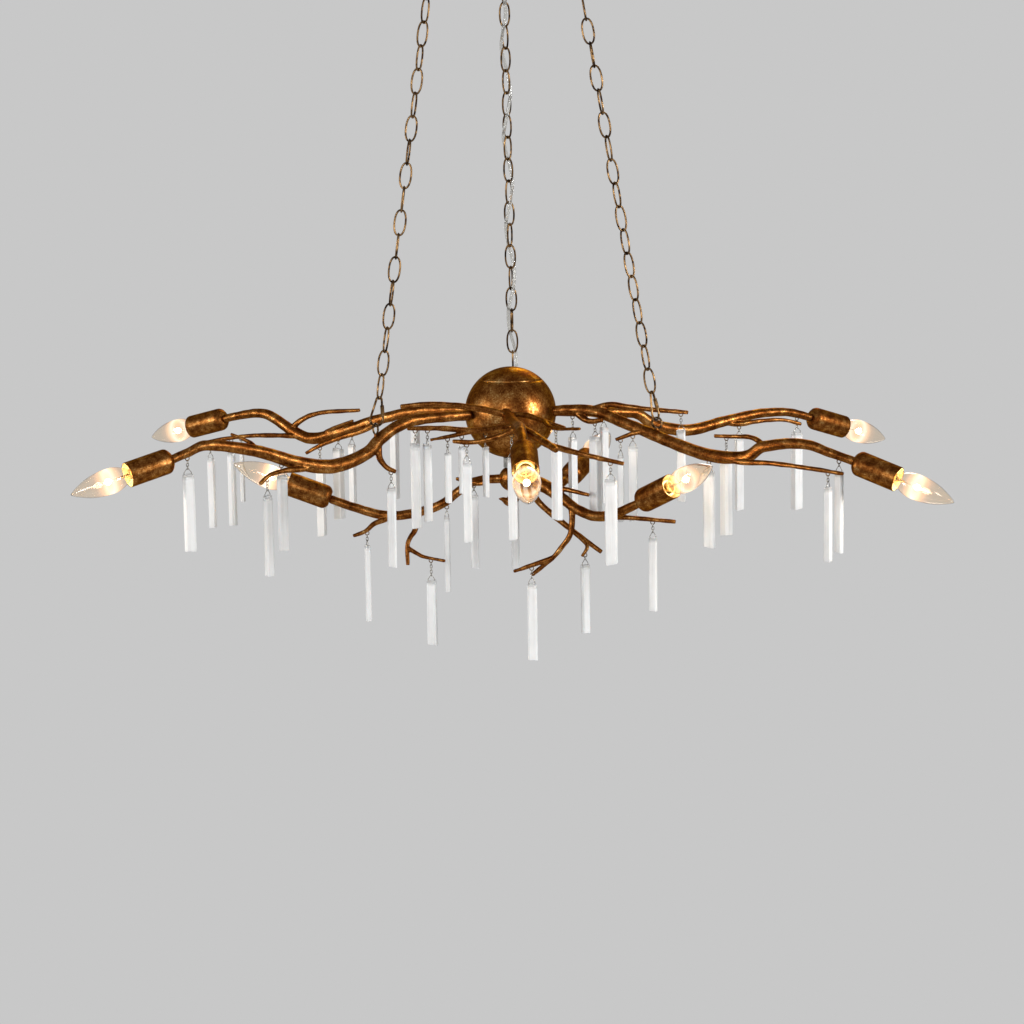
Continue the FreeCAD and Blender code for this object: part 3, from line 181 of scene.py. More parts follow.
# %% [markdown]
# ## Writing finishes as expressions
#
# A finish is a little sum: so much dark, so much gold, more gold where the noise is high.
# One small class holds a socket, and the ordinary operators on it add the Math nodes.

# %% A socket that can be added and multiplied
class Value:
    """One output socket of a finish, with arithmetic."""

    def __init__(self, finish, socket):
        self.finish = finish
        self.socket = socket

    def join(self, operation, first, second):
        """Math node on two values."""
        return self.finish.add("Math", {0: first, 1: second}, operation=operation)

    def __add__(self, other):
        return self.join("ADD", self, other)

    def __radd__(self, other):
        return self.join("ADD", other, self)

    def __sub__(self, other):
        return self.join("SUBTRACT", self, other)

    def __rsub__(self, other):
        return self.join("SUBTRACT", other, self)

    def __mul__(self, other):
        return self.join("MULTIPLY", self, other)

    def __rmul__(self, other):
        return self.join("MULTIPLY", other, self)

    def __truediv__(self, other):
        return self.join("DIVIDE", self, other)

    def __rtruediv__(self, other):
        return self.join("DIVIDE", other, self)

    def __abs__(self):
        return self.finish.add("Math", {0: self}, operation="ABSOLUTE")

# %% A finish whose nodes are added one by one
class Finish:
    """A material, or the world, whose nodes are added one by one."""

    def __init__(self, holder):
        self.holder = holder
        holder.use_nodes = True
        self.tree = holder.node_tree
        self.tree.nodes.clear()

    def add(self, kind, inputs=None, output=0, stops=None, **settings):
        """A node with its settings first, then the values or links of its sockets."""
        node = self.tree.nodes.new("ShaderNode" + kind)
        for key, value in settings.items():
            setattr(node, key, value)
        if stops:
            ramp = node.color_ramp
            while len(ramp.elements) < len(stops):
                ramp.elements.new(0.5)
            for element, (place, tone) in zip(ramp.elements, stops):
                element.position = place
                element.color = tone
        for key, value in (inputs or {}).items():
            if isinstance(value, Value):
                self.tree.links.new(value.socket, node.inputs[key])
            else:
                node.inputs[key].default_value = value
        return Value(self, node.outputs[output])

    def blend(self, factor, first, second):
        """Colour between two others."""
        return self.add("Mix", {0: factor, 6: first, 7: second}, output=2, data_type="RGBA")

    def noise(self, where, scale, detail=2.0, roughness=0.5):
        """Noise at these coordinates."""
        return self.add("TexNoise", {
            "Vector": where, "Scale": scale, "Detail": detail, "Roughness": roughness})

    def ramp(self, value, *stops):
        """Colour of a value on a ramp of places and colours."""
        return self.add("ValToRGB", {"Fac": value}, stops=stops)

    def spread(self, value, low, high, first, last):
        """Value carried from one range to another."""
        return self.add("MapRange", {
            "Value": value, "From Min": low, "From Max": high, "To Min": first, "To Max": last})

    def relief(self, height, strength, depth):
        """Bumps of a depth in metres."""
        return self.add("Bump", {"Height": height, "Strength": strength, "Distance": depth}, output="Normal")

    def place(self, seed=0.0, scales=(1, 1, 1)):
        """The object's own coordinates in metres, moved by a seed and scaled along each axis."""
        own = self.add("TexCoord", output="Object")
        return self.add("Mapping", {"Vector": own, "Location": (seed, 2 * seed, -seed), "Scale": scales})

    def skin(self, inputs):
        """Closes the finish with one Principled shader."""
        return self.close(self.add("BsdfPrincipled", inputs))

    def close(self, shader, end="OutputMaterial"):
        """Joins the last shader to the output and gives back what it was made for."""
        node = self.tree.nodes.new("ShaderNode" + end)
        self.tree.links.new(shader.socket, node.inputs["Surface"])
        return self.holder


def colour(code):
    """Linear colour of a #rrggbb code."""
    parts = [int(code[k:k + 2], 16) / 255 for k in (1, 3, 5)]
    return (*[p / 12.92 if p <= 0.04045 else ((p + 0.055) / 1.055) ** 2.4 for p in parts], 1)


print("dark brown", [round(v, 3) for v in colour("#3a1f0c")])

# %% [markdown]
# ## Gold leaf over dark iron
#
# The branches were painted dark brown, covered with gold leaf and rubbed back, so the leaf
# stays in patches and specks, brighter on ridges. Three noises of different size decide
# how much leaf is left, and that one number drives colour, metal, gloss and relief.

# %% Gold leaf finish
LEAF_DARK = colour("#281004")
LEAF_COPPER = colour("#6a3812")
LEAF_GOLD = colour("#ad753a")
LEAF_BRIGHT = colour("#f6d694")
EDGE_TINT = colour("#d8b88c")


def gold_leaf(name, patches, amount, seed):
    """Mottled leaf: patches per metre, the share left, and where the pattern starts."""
    finish = Finish(bpy.data.materials.new(name))
    moved = finish.place(seed)
    large = finish.noise(moved, patches, 5.0, 0.62)
    fine = finish.noise(moved, patches * 7, 4.0, 0.7)
    speck = finish.noise(moved, patches * 22, 2.0, 0.6)
    leaf = large * 0.40 + fine * 0.34 + speck * 0.26 + (amount - 0.5)
    tone = finish.ramp(leaf, (0.37, LEAF_DARK), (0.48, LEAF_COPPER), (0.575, LEAF_GOLD), (0.67, LEAF_BRIGHT))
    return finish.skin({
        "Base Color": tone, "Metallic": finish.spread(leaf, 0.38, 0.6, 0.93, 1.0),
        "Roughness": finish.spread(leaf, 0.40, 0.64, 0.42, 0.28), "Specular Tint": EDGE_TINT,
        "Normal": finish.relief(leaf + fine * 0.4, 0.5, 0.0005)})


branch_leaf = gold_leaf("branch_leaf", 70, 0.50, 3.0)
ball_leaf = gold_leaf("ball_leaf", 62, 0.515, 7.0)
cup_leaf = gold_leaf("cup_leaf", 105, 0.50, 11.0)
print("gold leaf", branch_leaf.name, ball_leaf.name, cup_leaf.name)

# %% [markdown]
# ## The other finishes
#
# Chains and hooks are aged brass, the little links bright nickel, the sockets cream plastic.
# Selenite grows in fibres, so its colour and relief are one noise drawn out along the stick.

# %% Brass, nickel, plastic, steel
def metal(name, dark, light, scale, rough, seed):
    """Worn metal between two tones."""
    finish = Finish(bpy.data.materials.new(name))
    moved = finish.place(seed)
    wear = finish.noise(moved, scale, 5.0, 0.65)
    grain = finish.noise(moved, scale * 6)
    return finish.skin({
        "Base Color": finish.ramp(wear, (0.40, colour(dark)), (0.62, colour(light))),
        "Metallic": 0.95, "Roughness": grain * 0.18 + (rough - 0.09),
        "Normal": finish.relief(wear + grain * 0.4, 0.25, 0.0003)})


def moulded(name, dark, light, rough):
    """Moulded plastic with a faint mottle."""
    finish = Finish(bpy.data.materials.new(name))
    mottle = finish.noise(finish.place(), 160.0, 4.0)
    return finish.skin({
        "Base Color": finish.ramp(mottle, (0.35, colour(dark)), (0.65, colour(light))),
        "Roughness": mottle * 0.2 + (rough - 0.1), "Normal": finish.relief(mottle, 0.15, 0.0002)})


aged_brass = metal("aged_brass", "#2a190b", "#9a784f", 110, 0.32, 1.0)
bright_nickel = metal("bright_nickel", "#6f6a61", "#d2cdc2", 500, 0.24, 2.0)
zinc_plate = metal("zinc_plate", "#7d7c78", "#b4b3ae", 90, 0.42, 4.0)
lamp_brass = metal("lamp_brass", "#a07a35", "#d9b56a", 200, 0.30, 5.0)
cream_plastic = moulded("cream_plastic", "#c9b077", "#e4d29a", 0.5)
dark_plastic = moulded("dark_plastic", "#16110d", "#2a221b", 0.5)
print("metals and plastics", len(bpy.data.materials))

# %% Selenite
def selenite(name):
    """Fibrous white crystal with fibres along Z, clear at the top where the wire shows."""
    finish = Finish(bpy.data.materials.new(name))
    along = finish.place(0.0, (1, 1, 0.035))
    fibre = finish.noise(along, 900.0, 4.0, 0.6)
    band = finish.noise(along, 240.0, 3.0)
    cloud = finish.noise(finish.place(), 45.0, 3.0)
    milk = fibre * 0.35 + band * 0.4 + cloud * 0.25
    tone = finish.ramp(milk, (0.34, colour("#e9e8e7")), (0.46, colour("#f5f5f4")), (0.58, colour("#fdfdfc")))
    body = finish.add("BsdfPrincipled", {
        "Base Color": tone, "Roughness": finish.spread(milk, 0.35, 0.65, 0.28, 0.62),
        "Normal": finish.relief(fibre + band, 0.5, 0.0004), "Transmission Weight": 0.10, "IOR": 1.52,
        "Subsurface Weight": 0.25, "Subsurface Radius": (0.006, 0.005, 0.0045), "Subsurface Scale": 1.0})
    clear = finish.add("BsdfPrincipled", {
        "Base Color": colour("#f6f6f6"), "Roughness": 0.12, "Transmission Weight": 1.0, "IOR": 1.15})
    share = finish.add("SeparateXYZ", {0: finish.add("TexCoord", output="Generated")}, output="Z")
    top = finish.spread(share + cloud * 0.03, 0.935, 0.985, 0.0, 0.62)
    return finish.close(finish.add("MixShader", {0: top, 1: body, 2: clear}))


white_selenite = selenite("white_selenite")
print("finishes so far", len(bpy.data.materials))

# %% [markdown]
# ## Rings and eyes
#
# Bent rings are welded on the branches: three large ones for the chains and a small eye
# over each string of little links. Their places come from what hangs on them, and a curve
# with a round bevel is the simplest way to bend wire.

# %% Bend wire along routes
def wire_curve(name, routes, radius, closed=True, detail=3, kind="POLY"):
    """Round wire of this radius in metres along each route."""
    curve = bpy.data.curves.new(name, "CURVE")
    curve.dimensions = "3D"
    curve.bevel_depth = radius
    curve.bevel_resolution = detail
    curve.use_fill_caps = True
    for route in routes:
        spline = curve.splines.new(kind)
        spline.points.add(len(route) - 1)
        for point, place in zip(spline.points, route):
            point.co = (*place, 1)
        spline.use_cyclic_u = closed
        spline.use_smooth = True
        if kind == "NURBS":
            spline.order_u = 3
            spline.use_endpoint_u = not closed
    return new_object(name, curve)


def turned(angle, first, second):
    """Direction at an angle in the plane of two others."""
    return first * math.cos(angle) + second * math.sin(angle)


def ring_route(centre, radius, first, second, steps=32):
    """Round loop in the plane of two directions."""
    return [centre + turned(2 * math.pi * k / steps, first, second) * radius for k in range(steps)]


print("points of a ring", len(ring_route(ball_centre, BALL_RADIUS, UP, level_right)))

# %% Find the chain rings over the pear connectors
SEAT_RING_RADIUS = 6.8 * MM
SEAT_RING_WIRE = 2.6 * MM
PEAR_TO_RING = 2.1 * MM
LEAST_PEAR = 30 * MM


def pear_frames():
    """Middle, upward and wide directions, and lower and upper reach of each pear connector."""
    frames = []
    for points in solids_of("chain_connectors"):
        middle, ways = ways_of(points)
        if np.ptp(points, axis=0).max() > LEAST_PEAR:
            rise = ways[0] if ways[0].z > 0 else -ways[0]
            frames.append((middle, rise, ways[1], *reach_along(points, middle, rise)))
    return frames


pears = pear_frames()
seat_rings = [(middle + rise * (low - PEAR_TO_RING), level(wide)) for middle, rise, wide, low, high in pears]
print("chain rings at", [[round(v, 4) for v in centre] for centre, normal in seat_rings])

# %% Tell each drop's sticks from its bails and small links, and sort these under their stick
LEAST_STICK = 40 * MM
Solid = namedtuple("Solid", "tall middle ways points")


def level_gap(solid, stick):
    """Level distance of a small solid from a stick."""
    return (solid.middle.xy - stick.middle.xy).length


hung = []
for joint in joints:
    node = "crystal_" + joint["child"]
    solids = [Solid(np.ptp(points[:, 2]), *ways_of(points), points) for points in solids_of(node)]
    sticks = [solid for solid in solids if solid.tall > LEAST_STICK]
    for number, stick in enumerate(sticks, start=1):
        mine = [solid for solid in solids if solid.tall <= LEAST_STICK
                and min(sticks, key=lambda other: level_gap(solid, other)) is stick]
        mine.sort(key=lambda solid: -solid.middle.z)
        hung.append({"label": "%s_%d" % (node, number), "node": node, "body": joint["child"],
                     "stick": stick, "links": mine[:-1], "bail": mine[-1]})
print("sticks", len(hung), "links", sum(len(row["links"]) for row in hung))

# %% Bend the eyes again
EYE_RADIUS = 2.5 * MM
EYE_WIRE = 1.2 * MM
EYE_TO_LINK = 1.3 * MM


def eye_of(row):
    """Centre of the eye over the first link, and the level direction in its plane."""
    link = row["links"][0]
    top = Vector((link.middle.x, link.middle.y, link.points[:, 2].max()))
    return top + UP * (EYE_RADIUS - EYE_TO_LINK), UP.cross(level(link.ways[1]))


eyes = [eye_of(row) for row in hung]
eye_loops = [ring_route(centre, EYE_RADIUS, UP, way, 20) for centre, way in eyes]
gold_eyes = wire_curve("gold_eyes", eye_loops, EYE_WIRE / 2, detail=2)
finish_piece(gold_eyes, "frame", None, aged_brass)
chain_loops = [ring_route(centre, SEAT_RING_RADIUS, UP, UP.cross(normal)) for centre, normal in seat_rings]
seat_loops = wire_curve("chain_rings", chain_loops, SEAT_RING_WIRE / 2)
finish_piece(seat_loops, "frame", None, aged_brass)
print("eyes", len(eyes))

# %% [markdown]
# ## Forged branches
#
# On the real fixture each twig is welded on and the weld is ground until it flows into the
# branch. The solids are straight runs that meet in creases, so the branches are swept again
# here, on smooth curves through the same points and with the same girth. A skin of small
# cubes, a voxel remesh, melts arm and twigs together, smoothing rounds the welds, and a
# little noise along the normals leaves the marks of the hammer.

# %% Bearings of the arms in degrees
UPPER_REACH = 477 * MM
LOWER_REACH = 237 * MM
HUB_DROP = 87 * MM
ARM_GIRTH = 7.2 * MM
TWIG_GIRTH = 3.9 * MM
TIP_SHARE = 0.62
ARM_BEARINGS = {
    "arm_front_left": 210.0, "arm_back_left": 148.4, "arm_front_right": 331.4, "arm_back_right": 29.2,
    "arm_front": 271.7, "arm_back": 90.0, "arm_low_left": 180.0, "arm_low_front": 312.0, "arm_low_back": 62.0,
}
hub_centre = ball_centre - UP * HUB_DROP
print("hub centre", [round(v, 4) for v in hub_centre])

# %% Points of the arms, in thousandths of their reach: out, sideways, up; then their girth
WHOLE = 1000
UPPER_ARM_SHARES = {
    "arm_front_left": (
        (90, 0, 0, 950), (270, 0, 0, 1000), (345, 0, -14, 1050), (400, 0, -45, 1100), (445, 0, -82, 1150),
        (540, 0, -107, 1250), (640, 0, -92, 1200), (760, 0, -51, 1050), (895, 0, -26, 900),
        (955, 0, -41, 780), (1000, 0, -56, 750)),
    "arm_back_left": (
        (90, 0, 4, 950), (300, 0, -10, 950), (450, 0, -44, 1000), (560, 0, -79, 1050),
        (665, 0, -104, 1100), (735, 0, -85, 1050), (800, 0, -51, 1000), (850, 0, -39, 900),
        (930, 0, -50, 800), (980, 0, -61, 750)),
    "arm_front_right": (
        (90, 0, 4, 950), (240, 0, 13, 1000), (350, 0, -18, 1000), (530, 0, -77, 1100),
        (620, 0, -95, 1150), (700, 0, -90, 1050), (750, 0, -62, 1000), (855, 0, -51, 900),
        (930, 0, -70, 780), (1000, 0, -91, 750)),
    "arm_back_right": (
        (90, 0, -2, 950), (360, 0, -25, 950), (410, 0, -33, 1000), (470, 0, -69, 1100),
        (580, 0, -89, 1100), (700, 0, -72, 1000), (820, 0, -58, 900), (920, 0, -61, 800),
        (1000, 0, -82, 750)),
    "arm_front": (
        (90, -20, 12, 950), (250, -6, 3, 1050), (420, 0, 9, 1050), (630, 0, 29, 1000), (840, -2, 46, 900),
        (930, 0, 38, 800), (1000, 0, 17, 750)),
    "arm_back": (
        (90, 0, 0, 950), (300, 12, -26, 950), (450, -10, -59, 1100), (600, 15, -83, 1100),
        (750, 0, -62, 1000), (900, 0, -43, 850), (1000, 0, -62, 750)),
}
LOWER_ARM_SHARES = {
    "arm_low_left": (
        (40, 0, 0, 800), (180, 0, -8, 800), (270, 0, -50, 800), (400, 0, -143, 820), (580, 0, -192, 850),
        (720, 0, -191, 850), (870, 0, -147, 800), (1000, 0, -98, 750)),
    "arm_low_front": (
        (40, 0, 0, 1100), (240, 0, -12, 1250), (410, 0, -76, 1000), (530, 0, -124, 900),
        (660, 0, -146, 900), (800, 0, -125, 850), (930, 0, -72, 780), (1010, 0, -36, 750)),
    "arm_low_back": (
        (40, 0, 0, 800), (280, 0, -66, 850), (440, 0, -101, 850), (560, 0, -110, 800),
        (710, 0, -80, 750)),
}
print("arms", len(UPPER_ARM_SHARES) + len(LOWER_ARM_SHARES))

# %% Points of the twigs, in thousandths of the arm's reach, each after its girth
TWIG_SHARES = {
    "arm_front_left": {
        "under": (
            1000, (575, 0, -105), (650, 17, -106), (700, 30, -104), (745, 42, -111), (777, 50, -130)),
        "hook": (1100, (405, 0, -55), (410, 10, -89), (405, 19, -107), (395, 29, -121), (378, 42, -131)),
        "over": (800, (757, 0, -50), (775, -12, -28), (818, -34, -5)),
    },
    "arm_back_left": {
        "up": (
            1100, (745, 0, -83), (719, 0, -63), (700, -8, -49), (678, -17, -39), (637, -29, -30),
            (542, -63, -24)),
        "long": (
            1000, (692, 0, -101), (730, 14, -98), (835, 42, -99), (920, 63, -109), (1007, 84, -126)),
        "stub": (900, (632, 0, -95), (594, 10, -74), (502, 30, -43)),
        "under": (
            1000, (418, 0, -36), (471, 19, -69), (528, 31, -87), (574, 40, -103), (615, 52, -121),
            (644, 65, -139)),
    },
    "arm_front_right": {
        "up": (1100, (235, 0, 12), (296, 8, 30), (335, 19, 26), (416, 42, 17), (500, 71, 10)),
        "stub": (1000, (420, 0, -40), (385, -15, -40), (336, -36, -58)),
        "knot": (1200, (195, 0, 10), (245, -17, -13), (294, -27, -8)),
        "curl": (
            1000, (745, 0, -66), (735, 10, -55), (716, 19, -46), (690, 27, -42), (655, 36, -44),
            (587, 48, -47)),
        "lower": (
            1000, (628, 0, -95), (690, -14, -104), (767, -29, -101), (839, -42, -103), (929, -55, -109),
            (994, -63, -115)),
    },
    "arm_back_right": {
        "under": (
            1000, (690, 0, -73), (735, -14, -82), (798, -29, -76), (869, -42, -76), (927, -55, -91)),
    },
    "arm_front": {
        "left_high": (
            1200, (170, 0, 6), (178, -70, 26), (190, -160, 41), (210, -235, 47), (231, -296, 44)),
        "left_low": (1100, (520, 0, 19), (545, -100, 13), (570, -199, 23), (587, -277, 26)),
        "left_fork": (800, (545, -100, 13), (570, -160, 4), (587, -220, -4)),
        "left_short": (1000, (690, 0, 33), (680, -50, 12), (670, -113, -2), (660, -165, 0)),
        "right_stub": (1600, (500, 0, 17), (608, 49, -2), (692, 92, -23)),
        "right_long": (1000, (660, 75, -15), (700, 160, -35), (713, 257, -58)),
        "right_high": (1100, (170, 0, 8), (220, 40, 12), (314, 98.5, 0), (356, 130, -7)),
        "right_fork": (800, (270, 75, 6), (360, 100, -6), (440, 165, 0)),
    },
    "arm_back": {
        "left": (1100, (520, 0, -70), (570, -90, -62), (660, -180, -70)),
        "right": (1100, (620, 0, -83), (670, 70, -74), (780, 150, -80)),
    },
    "arm_low_left": {
        "short": (
            1000, (673, 0, -193), (700, 17, -215), (761, 34, -236), (807, 51, -273), (876, 68, -297)),
        "down": (
            1000, (508, 0, -179), (536, 25, -275), (561, 42, -311), (579, 59, -358), (578, 76, -462)),
        "down_fork": (800, (577, 60, -370), (526, 84, -397), (484, 110, -413), (371, 160, -429)),
        "root": (1000, (130, 0, -10), (190, 42, -20), (304, 75, 13)),
    },
    "arm_low_front": {
        "up": (1000, (310, 0, -37), (389, 25, -27), (554, 59, -48)),
        "side": (1000, (700, 0, -143), (850, 70, -143), (1048, 218, -162)),
        "down": (
            1100, (481, 0, -108), (508, -25, -195), (506, -42, -264), (470, -68, -325), (432, -101, -385),
            (340, -169, -479)),
        "down_fork": (900, (432, -101, -385), (347, -211, -430), (304, -270, -452)),
        "root": (
            1200, (130, 0, -20), (165, 59, -130), (282, 110, -227), (345, 135, -273), (497, 203, -381)),
        "curl": (900, (345, 135, -273), (436, 127, -315), (481, 110, -346), (476, 76, -393)),
    },
}
print("twigs", sum(len(rows) for rows in TWIG_SHARES.values()))

# %% Place the points of the arms and twigs
def arm_point(arm, row):
    """Place in space of a row of shares, in the arm's own heading."""
    bearing = math.radians(ARM_BEARINGS[arm])
    out = Vector((math.cos(bearing), math.sin(bearing), 0))
    along, sideways, lift = (share / WHOLE for share in row[:3])
    root, reach = (hub_centre, LOWER_REACH) if arm in LOWER_ARM_SHARES else (ball_centre, UPPER_REACH)
    return root + (out * along + UP.cross(out) * sideways + UP * lift) * reach


def arm_routes(arm):
    """Rows of place and girth along an arm and each of its twigs."""
    rows = UPPER_ARM_SHARES.get(arm) or LOWER_ARM_SHARES[arm]
    routes = [[(*arm_point(arm, row), row[3] / WHOLE * ARM_GIRTH) for row in rows]]
    for root_girth, *rows in TWIG_SHARES.get(arm, {}).values():
        tapers = [1 - (1 - TIP_SHARE) * k / (len(rows) - 1) for k in range(len(rows))]
        girths = [root_girth / WHOLE * TWIG_GIRTH * taper for taper in tapers]
        routes.append([(*arm_point(arm, row), girth) for row, girth in zip(rows, girths)])
    return routes


routes = arm_routes("arm_front_left")
print("front left arm", len(routes), "routes")

# %% Sweep a tube along a smooth curve
def smooth_rows(points, steps):
    """More rows of numbers on a smooth curve through a few."""
    rows = [np.array(point, float) for point in points]
    rows = [2 * rows[0] - rows[1]] + rows + [2 * rows[-1] - rows[-2]]
    out = []
    for a, b, c, d in zip(rows, rows[1:], rows[2:], rows[3:]):
        for step in range(steps):
            t = step / steps
            out.append(0.5 * (2 * b + (c - a) * t + (2 * a - 5 * b + 4 * c - d) * t ** 2
                              + (3 * b - a - 3 * c + d) * t ** 3))
    out.append(rows[-2])
    return out


def add_tube(corners, faces, rows, sides=14):
    """Adds a round tube through rows of place and girth."""
    places = [Vector(row[:3]) for row in rows]
    side = None
    for k, place in enumerate(places):
        way = (places[min(k + 1, len(places) - 1)] - places[max(k - 1, 0)]).normalized()
        side = way.orthogonal() if side is None else side - way * side.dot(way)
        side.normalize()
        corners += ring_route(place, rows[k][3], side, way.cross(side), sides)
    first = len(corners) - sides * len(rows)
    for k in range(len(rows) - 1):
        low, high = first + k * sides, first + (k + 1) * sides
        faces += [(low + n, low + (n + 1) % sides, high + (n + 1) % sides, high + n) for n in range(sides)]
    faces.append(tuple(first + n for n in reversed(range(sides))))
    faces.append(tuple(len(corners) - sides + n for n in range(sides)))


def tubes_mesh(routes):
    """All tubes of a branch, overlapping, in one mesh."""
    corners, faces = [], []
    for rows in routes:
        add_tube(corners, faces, rows)
    mesh = bpy.data.meshes.new("tubes")
    mesh.from_pydata(corners, [], faces)
    return mesh


print("rows along the front left arm", len(smooth_rows(routes[0], 10)))

# %% Melt tubes into one skin
VOXEL = 1.0 * MM
SMOOTH_ROUNDS = 4
HAMMER_SIZE = 1 / (12 * MM)
HAMMER_DEPTH = 0.5 * MM
LOST_SKIN = 0.15 * MM


def as_mesh(block):
    """Mesh of an object as its modifiers or its bevel leave it; the object itself goes."""
    bpy.context.view_layer.update()
    mesh = bpy.data.meshes.new_from_object(block.evaluated_get(bpy.context.evaluated_depsgraph_get()))
    bpy.data.objects.remove(block)
    return mesh


def mesh_through(mesh, *steps):
    """A mesh after modifiers, each given as its type and its settings."""
    block = new_object("block", mesh)
    for kind, settings in steps:
        modifier = block.modifiers.new(kind.lower(), kind)
        for key, value in settings.items():
            setattr(modifier, key, value)
    result = as_mesh(block)
    bpy.data.meshes.remove(mesh)
    return result


def forge(mesh, name, voxel=VOXEL, hammer=HAMMER_DEPTH, lost_skin=LOST_SKIN):
    """Melts the tubes of a mesh into one skin, smooths it and hammers it."""
    mesh = mesh_through(mesh, ("REMESH", {"mode": "VOXEL", "voxel_size": voxel}),
                        ("SMOOTH", {"factor": 0.5, "iterations": SMOOTH_ROUNDS}))
    mesh.name = name
    places = [vertex.co + vertex.normal * (lost_skin + hammer * noise.noise(vertex.co * HAMMER_SIZE))
              for vertex in mesh.vertices]
    for vertex, place in zip(mesh.vertices, places):
        vertex.co = place
    mesh.shade_smooth()
    print(name, "faces", len(mesh.polygons))
    return mesh

# %% Forge the branches
ROUTE_STEPS = 10
ROOT_DEPTH = 1.5 * MM
HUB_RADIUS = 16 * MM
HUB_ROOT_DEPTH = 5 * MM
SHANK_RADIUS = 2 * MM
SHANK_DEPTHS = (-1, 6, 12)
FOOT_TO_ARM = 20 * MM


def outside_root(arm, rows):
    """The part of a route outside the ball or hub that the arm is welded to."""
    root, skin = ball_centre, BALL_RADIUS - ROOT_DEPTH
    if arm in LOWER_ARM_SHARES:
        root, skin = hub_centre, HUB_RADIUS - HUB_ROOT_DEPTH
    return [row for row in rows if (Vector(row[:3]) - root).length > skin]


ring_feet = [centre - UP * SEAT_RING_RADIUS for centre, normal in seat_rings]
for arm in ARM_BEARINGS:
    routes = [outside_root(arm, smooth_rows(rows, ROUTE_STEPS)) for rows in arm_routes(arm)]
    places = np.array([row[:3] for row in routes[0]])
    for foot in ring_feet:
        if np.linalg.norm(places - np.array(foot), axis=1).min() < FOOT_TO_ARM:
            routes.append([(*(foot - UP * depth * MM), SHANK_RADIUS) for depth in SHANK_DEPTHS])
    branch = new_object(arm + "_forged", forge(tubes_mesh(routes), arm + "_forged"))
    finish_piece(branch, "frame", arm, branch_leaf)

# %% [markdown]
# ## Ball and hub
#
# The ball is spun from sheet, with a cap that closes on a fine seam about a third of the
# way from its top to its middle. Ball and cap are turned shapes, so one outline each is
# enough. The hub below is a knob with a curled leaf, melted from tubes as the branches are.

# %% Turn outlines, in millimetres
def turned_mesh(name, profile, sides=48, closed=False):
    """Shell of revolution about local Z from (radius, height) points in millimetres."""
    corners, faces, rings = [], [], []
    for radius, height in profile:
        if radius < 1e-6:
            rings.append([len(corners)] * sides)
            corners.append((0, 0, height * MM))
            continue
        rings.append([len(corners) + k for k in range(sides)])
        for k in range(sides):
            angle = 2 * math.pi * k / sides
            corners.append((radius * math.cos(angle) * MM, radius * math.sin(angle) * MM, height * MM))
    for low, high in zip(rings, rings[1:] + rings[:1] if closed else rings[1:]):
        for k in range(sides):
            n = (k + 1) % sides
            face = list(dict.fromkeys((low[k], low[n], high[n], high[k])))
            if len(face) > 2:
                faces.append(face)
    mesh = bpy.data.meshes.new(name)
    mesh.from_pydata(corners, [], faces)
    mesh.shade_smooth()
    return mesh


def sphere_rows(radius, low, high, steps):
    """Outline of a ball between two heights, from its lower edge up."""
    first, last = math.asin(max(low / radius, -1)), math.asin(min(high / radius, 1))
    angles = [first + (last - first) * k / steps for k in range(steps + 1)]
    return [(radius * math.cos(angle), radius * math.sin(angle)) for angle in angles]


print("points of a half ball", len(sphere_rows(1, 0, 1, 8)))

# %% Turn the ball and its cap
WALL = 2.0
SEAM = 42.0
SEAM_GAP = 0.2
SLEEVE_RADIUS = 40.6
SLEEVE_DEPTH = 5.0
SLEEVE_FLARE = 0.6
BALL_FOOT = 0.4
BALL_TIP = 0.01
BALL = BALL_RADIUS / MM
INNER = BALL - WALL
ball_rows = sphere_rows(BALL, BALL_FOOT - BALL, SEAM, 40)
ball_rows += sphere_rows(INNER, BALL_FOOT - INNER, SEAM, 40)[::-1]
ball_shell = new_object("ball_shell", turned_mesh("ball_shell", ball_rows, 96))
cap_rows = [(0.0, BALL)] + sphere_rows(BALL, SEAM + SEAM_GAP, BALL - BALL_TIP, 16)[::-1]
cap_rows += [(SLEEVE_RADIUS + SLEEVE_FLARE, SEAM + SEAM_GAP), (SLEEVE_RADIUS, SEAM - SLEEVE_DEPTH),
             (SLEEVE_RADIUS - WALL, SEAM - SLEEVE_DEPTH), (SLEEVE_RADIUS - WALL, SEAM + SEAM_GAP)]
cap_rows += sphere_rows(INNER, SEAM + 2 * SEAM_GAP, INNER - BALL_TIP, 12) + [(0.0, INNER)]
cap_shell = new_object("cap_shell", turned_mesh("cap_shell", cap_rows, 96))
for shell, node in ((ball_shell, "ball"), (cap_shell, "ball_cap")):
    shell.matrix_world = Matrix.Translation(ball_centre)
    finish_piece(shell, "frame", node, ball_leaf)
print("ball rows", len(ball_rows), "cap rows", len(cap_rows))

# %% Forge the hub and its leaf
HUB_ROOT_SHARES = (
    (0.1, 0.0, -0.5, 0.62), (0.2, 0.0, -1.2, 0.44), (0.1, 0.0, -1.7, 0.5), (0.0, 0.0, -2.05, 0.24))
HUB_LEAF_SHARES = (
    (0.1, 0.0, -1.95, 0.34), (-0.3, 0.0, -1.95, 0.34), (-0.7, 0.0, -1.72, 0.22), (-1.1, 0.0, -1.66, 0.05))
KNOB = 16.8
KNOB_TIP = 0.1
HUB_SHRINK = 0.2 * MM
HUB_VOXEL = 0.8 * MM
HUB_HAMMER = 0.15 * MM


def hub_rows(shares):
    """Places and girths of a tube at the hub, from shares of its radius."""
    rows = [(*(hub_centre + Vector(row[:3]) * HUB_RADIUS), row[3] * HUB_RADIUS) for row in shares]
    return smooth_rows(rows, 8)


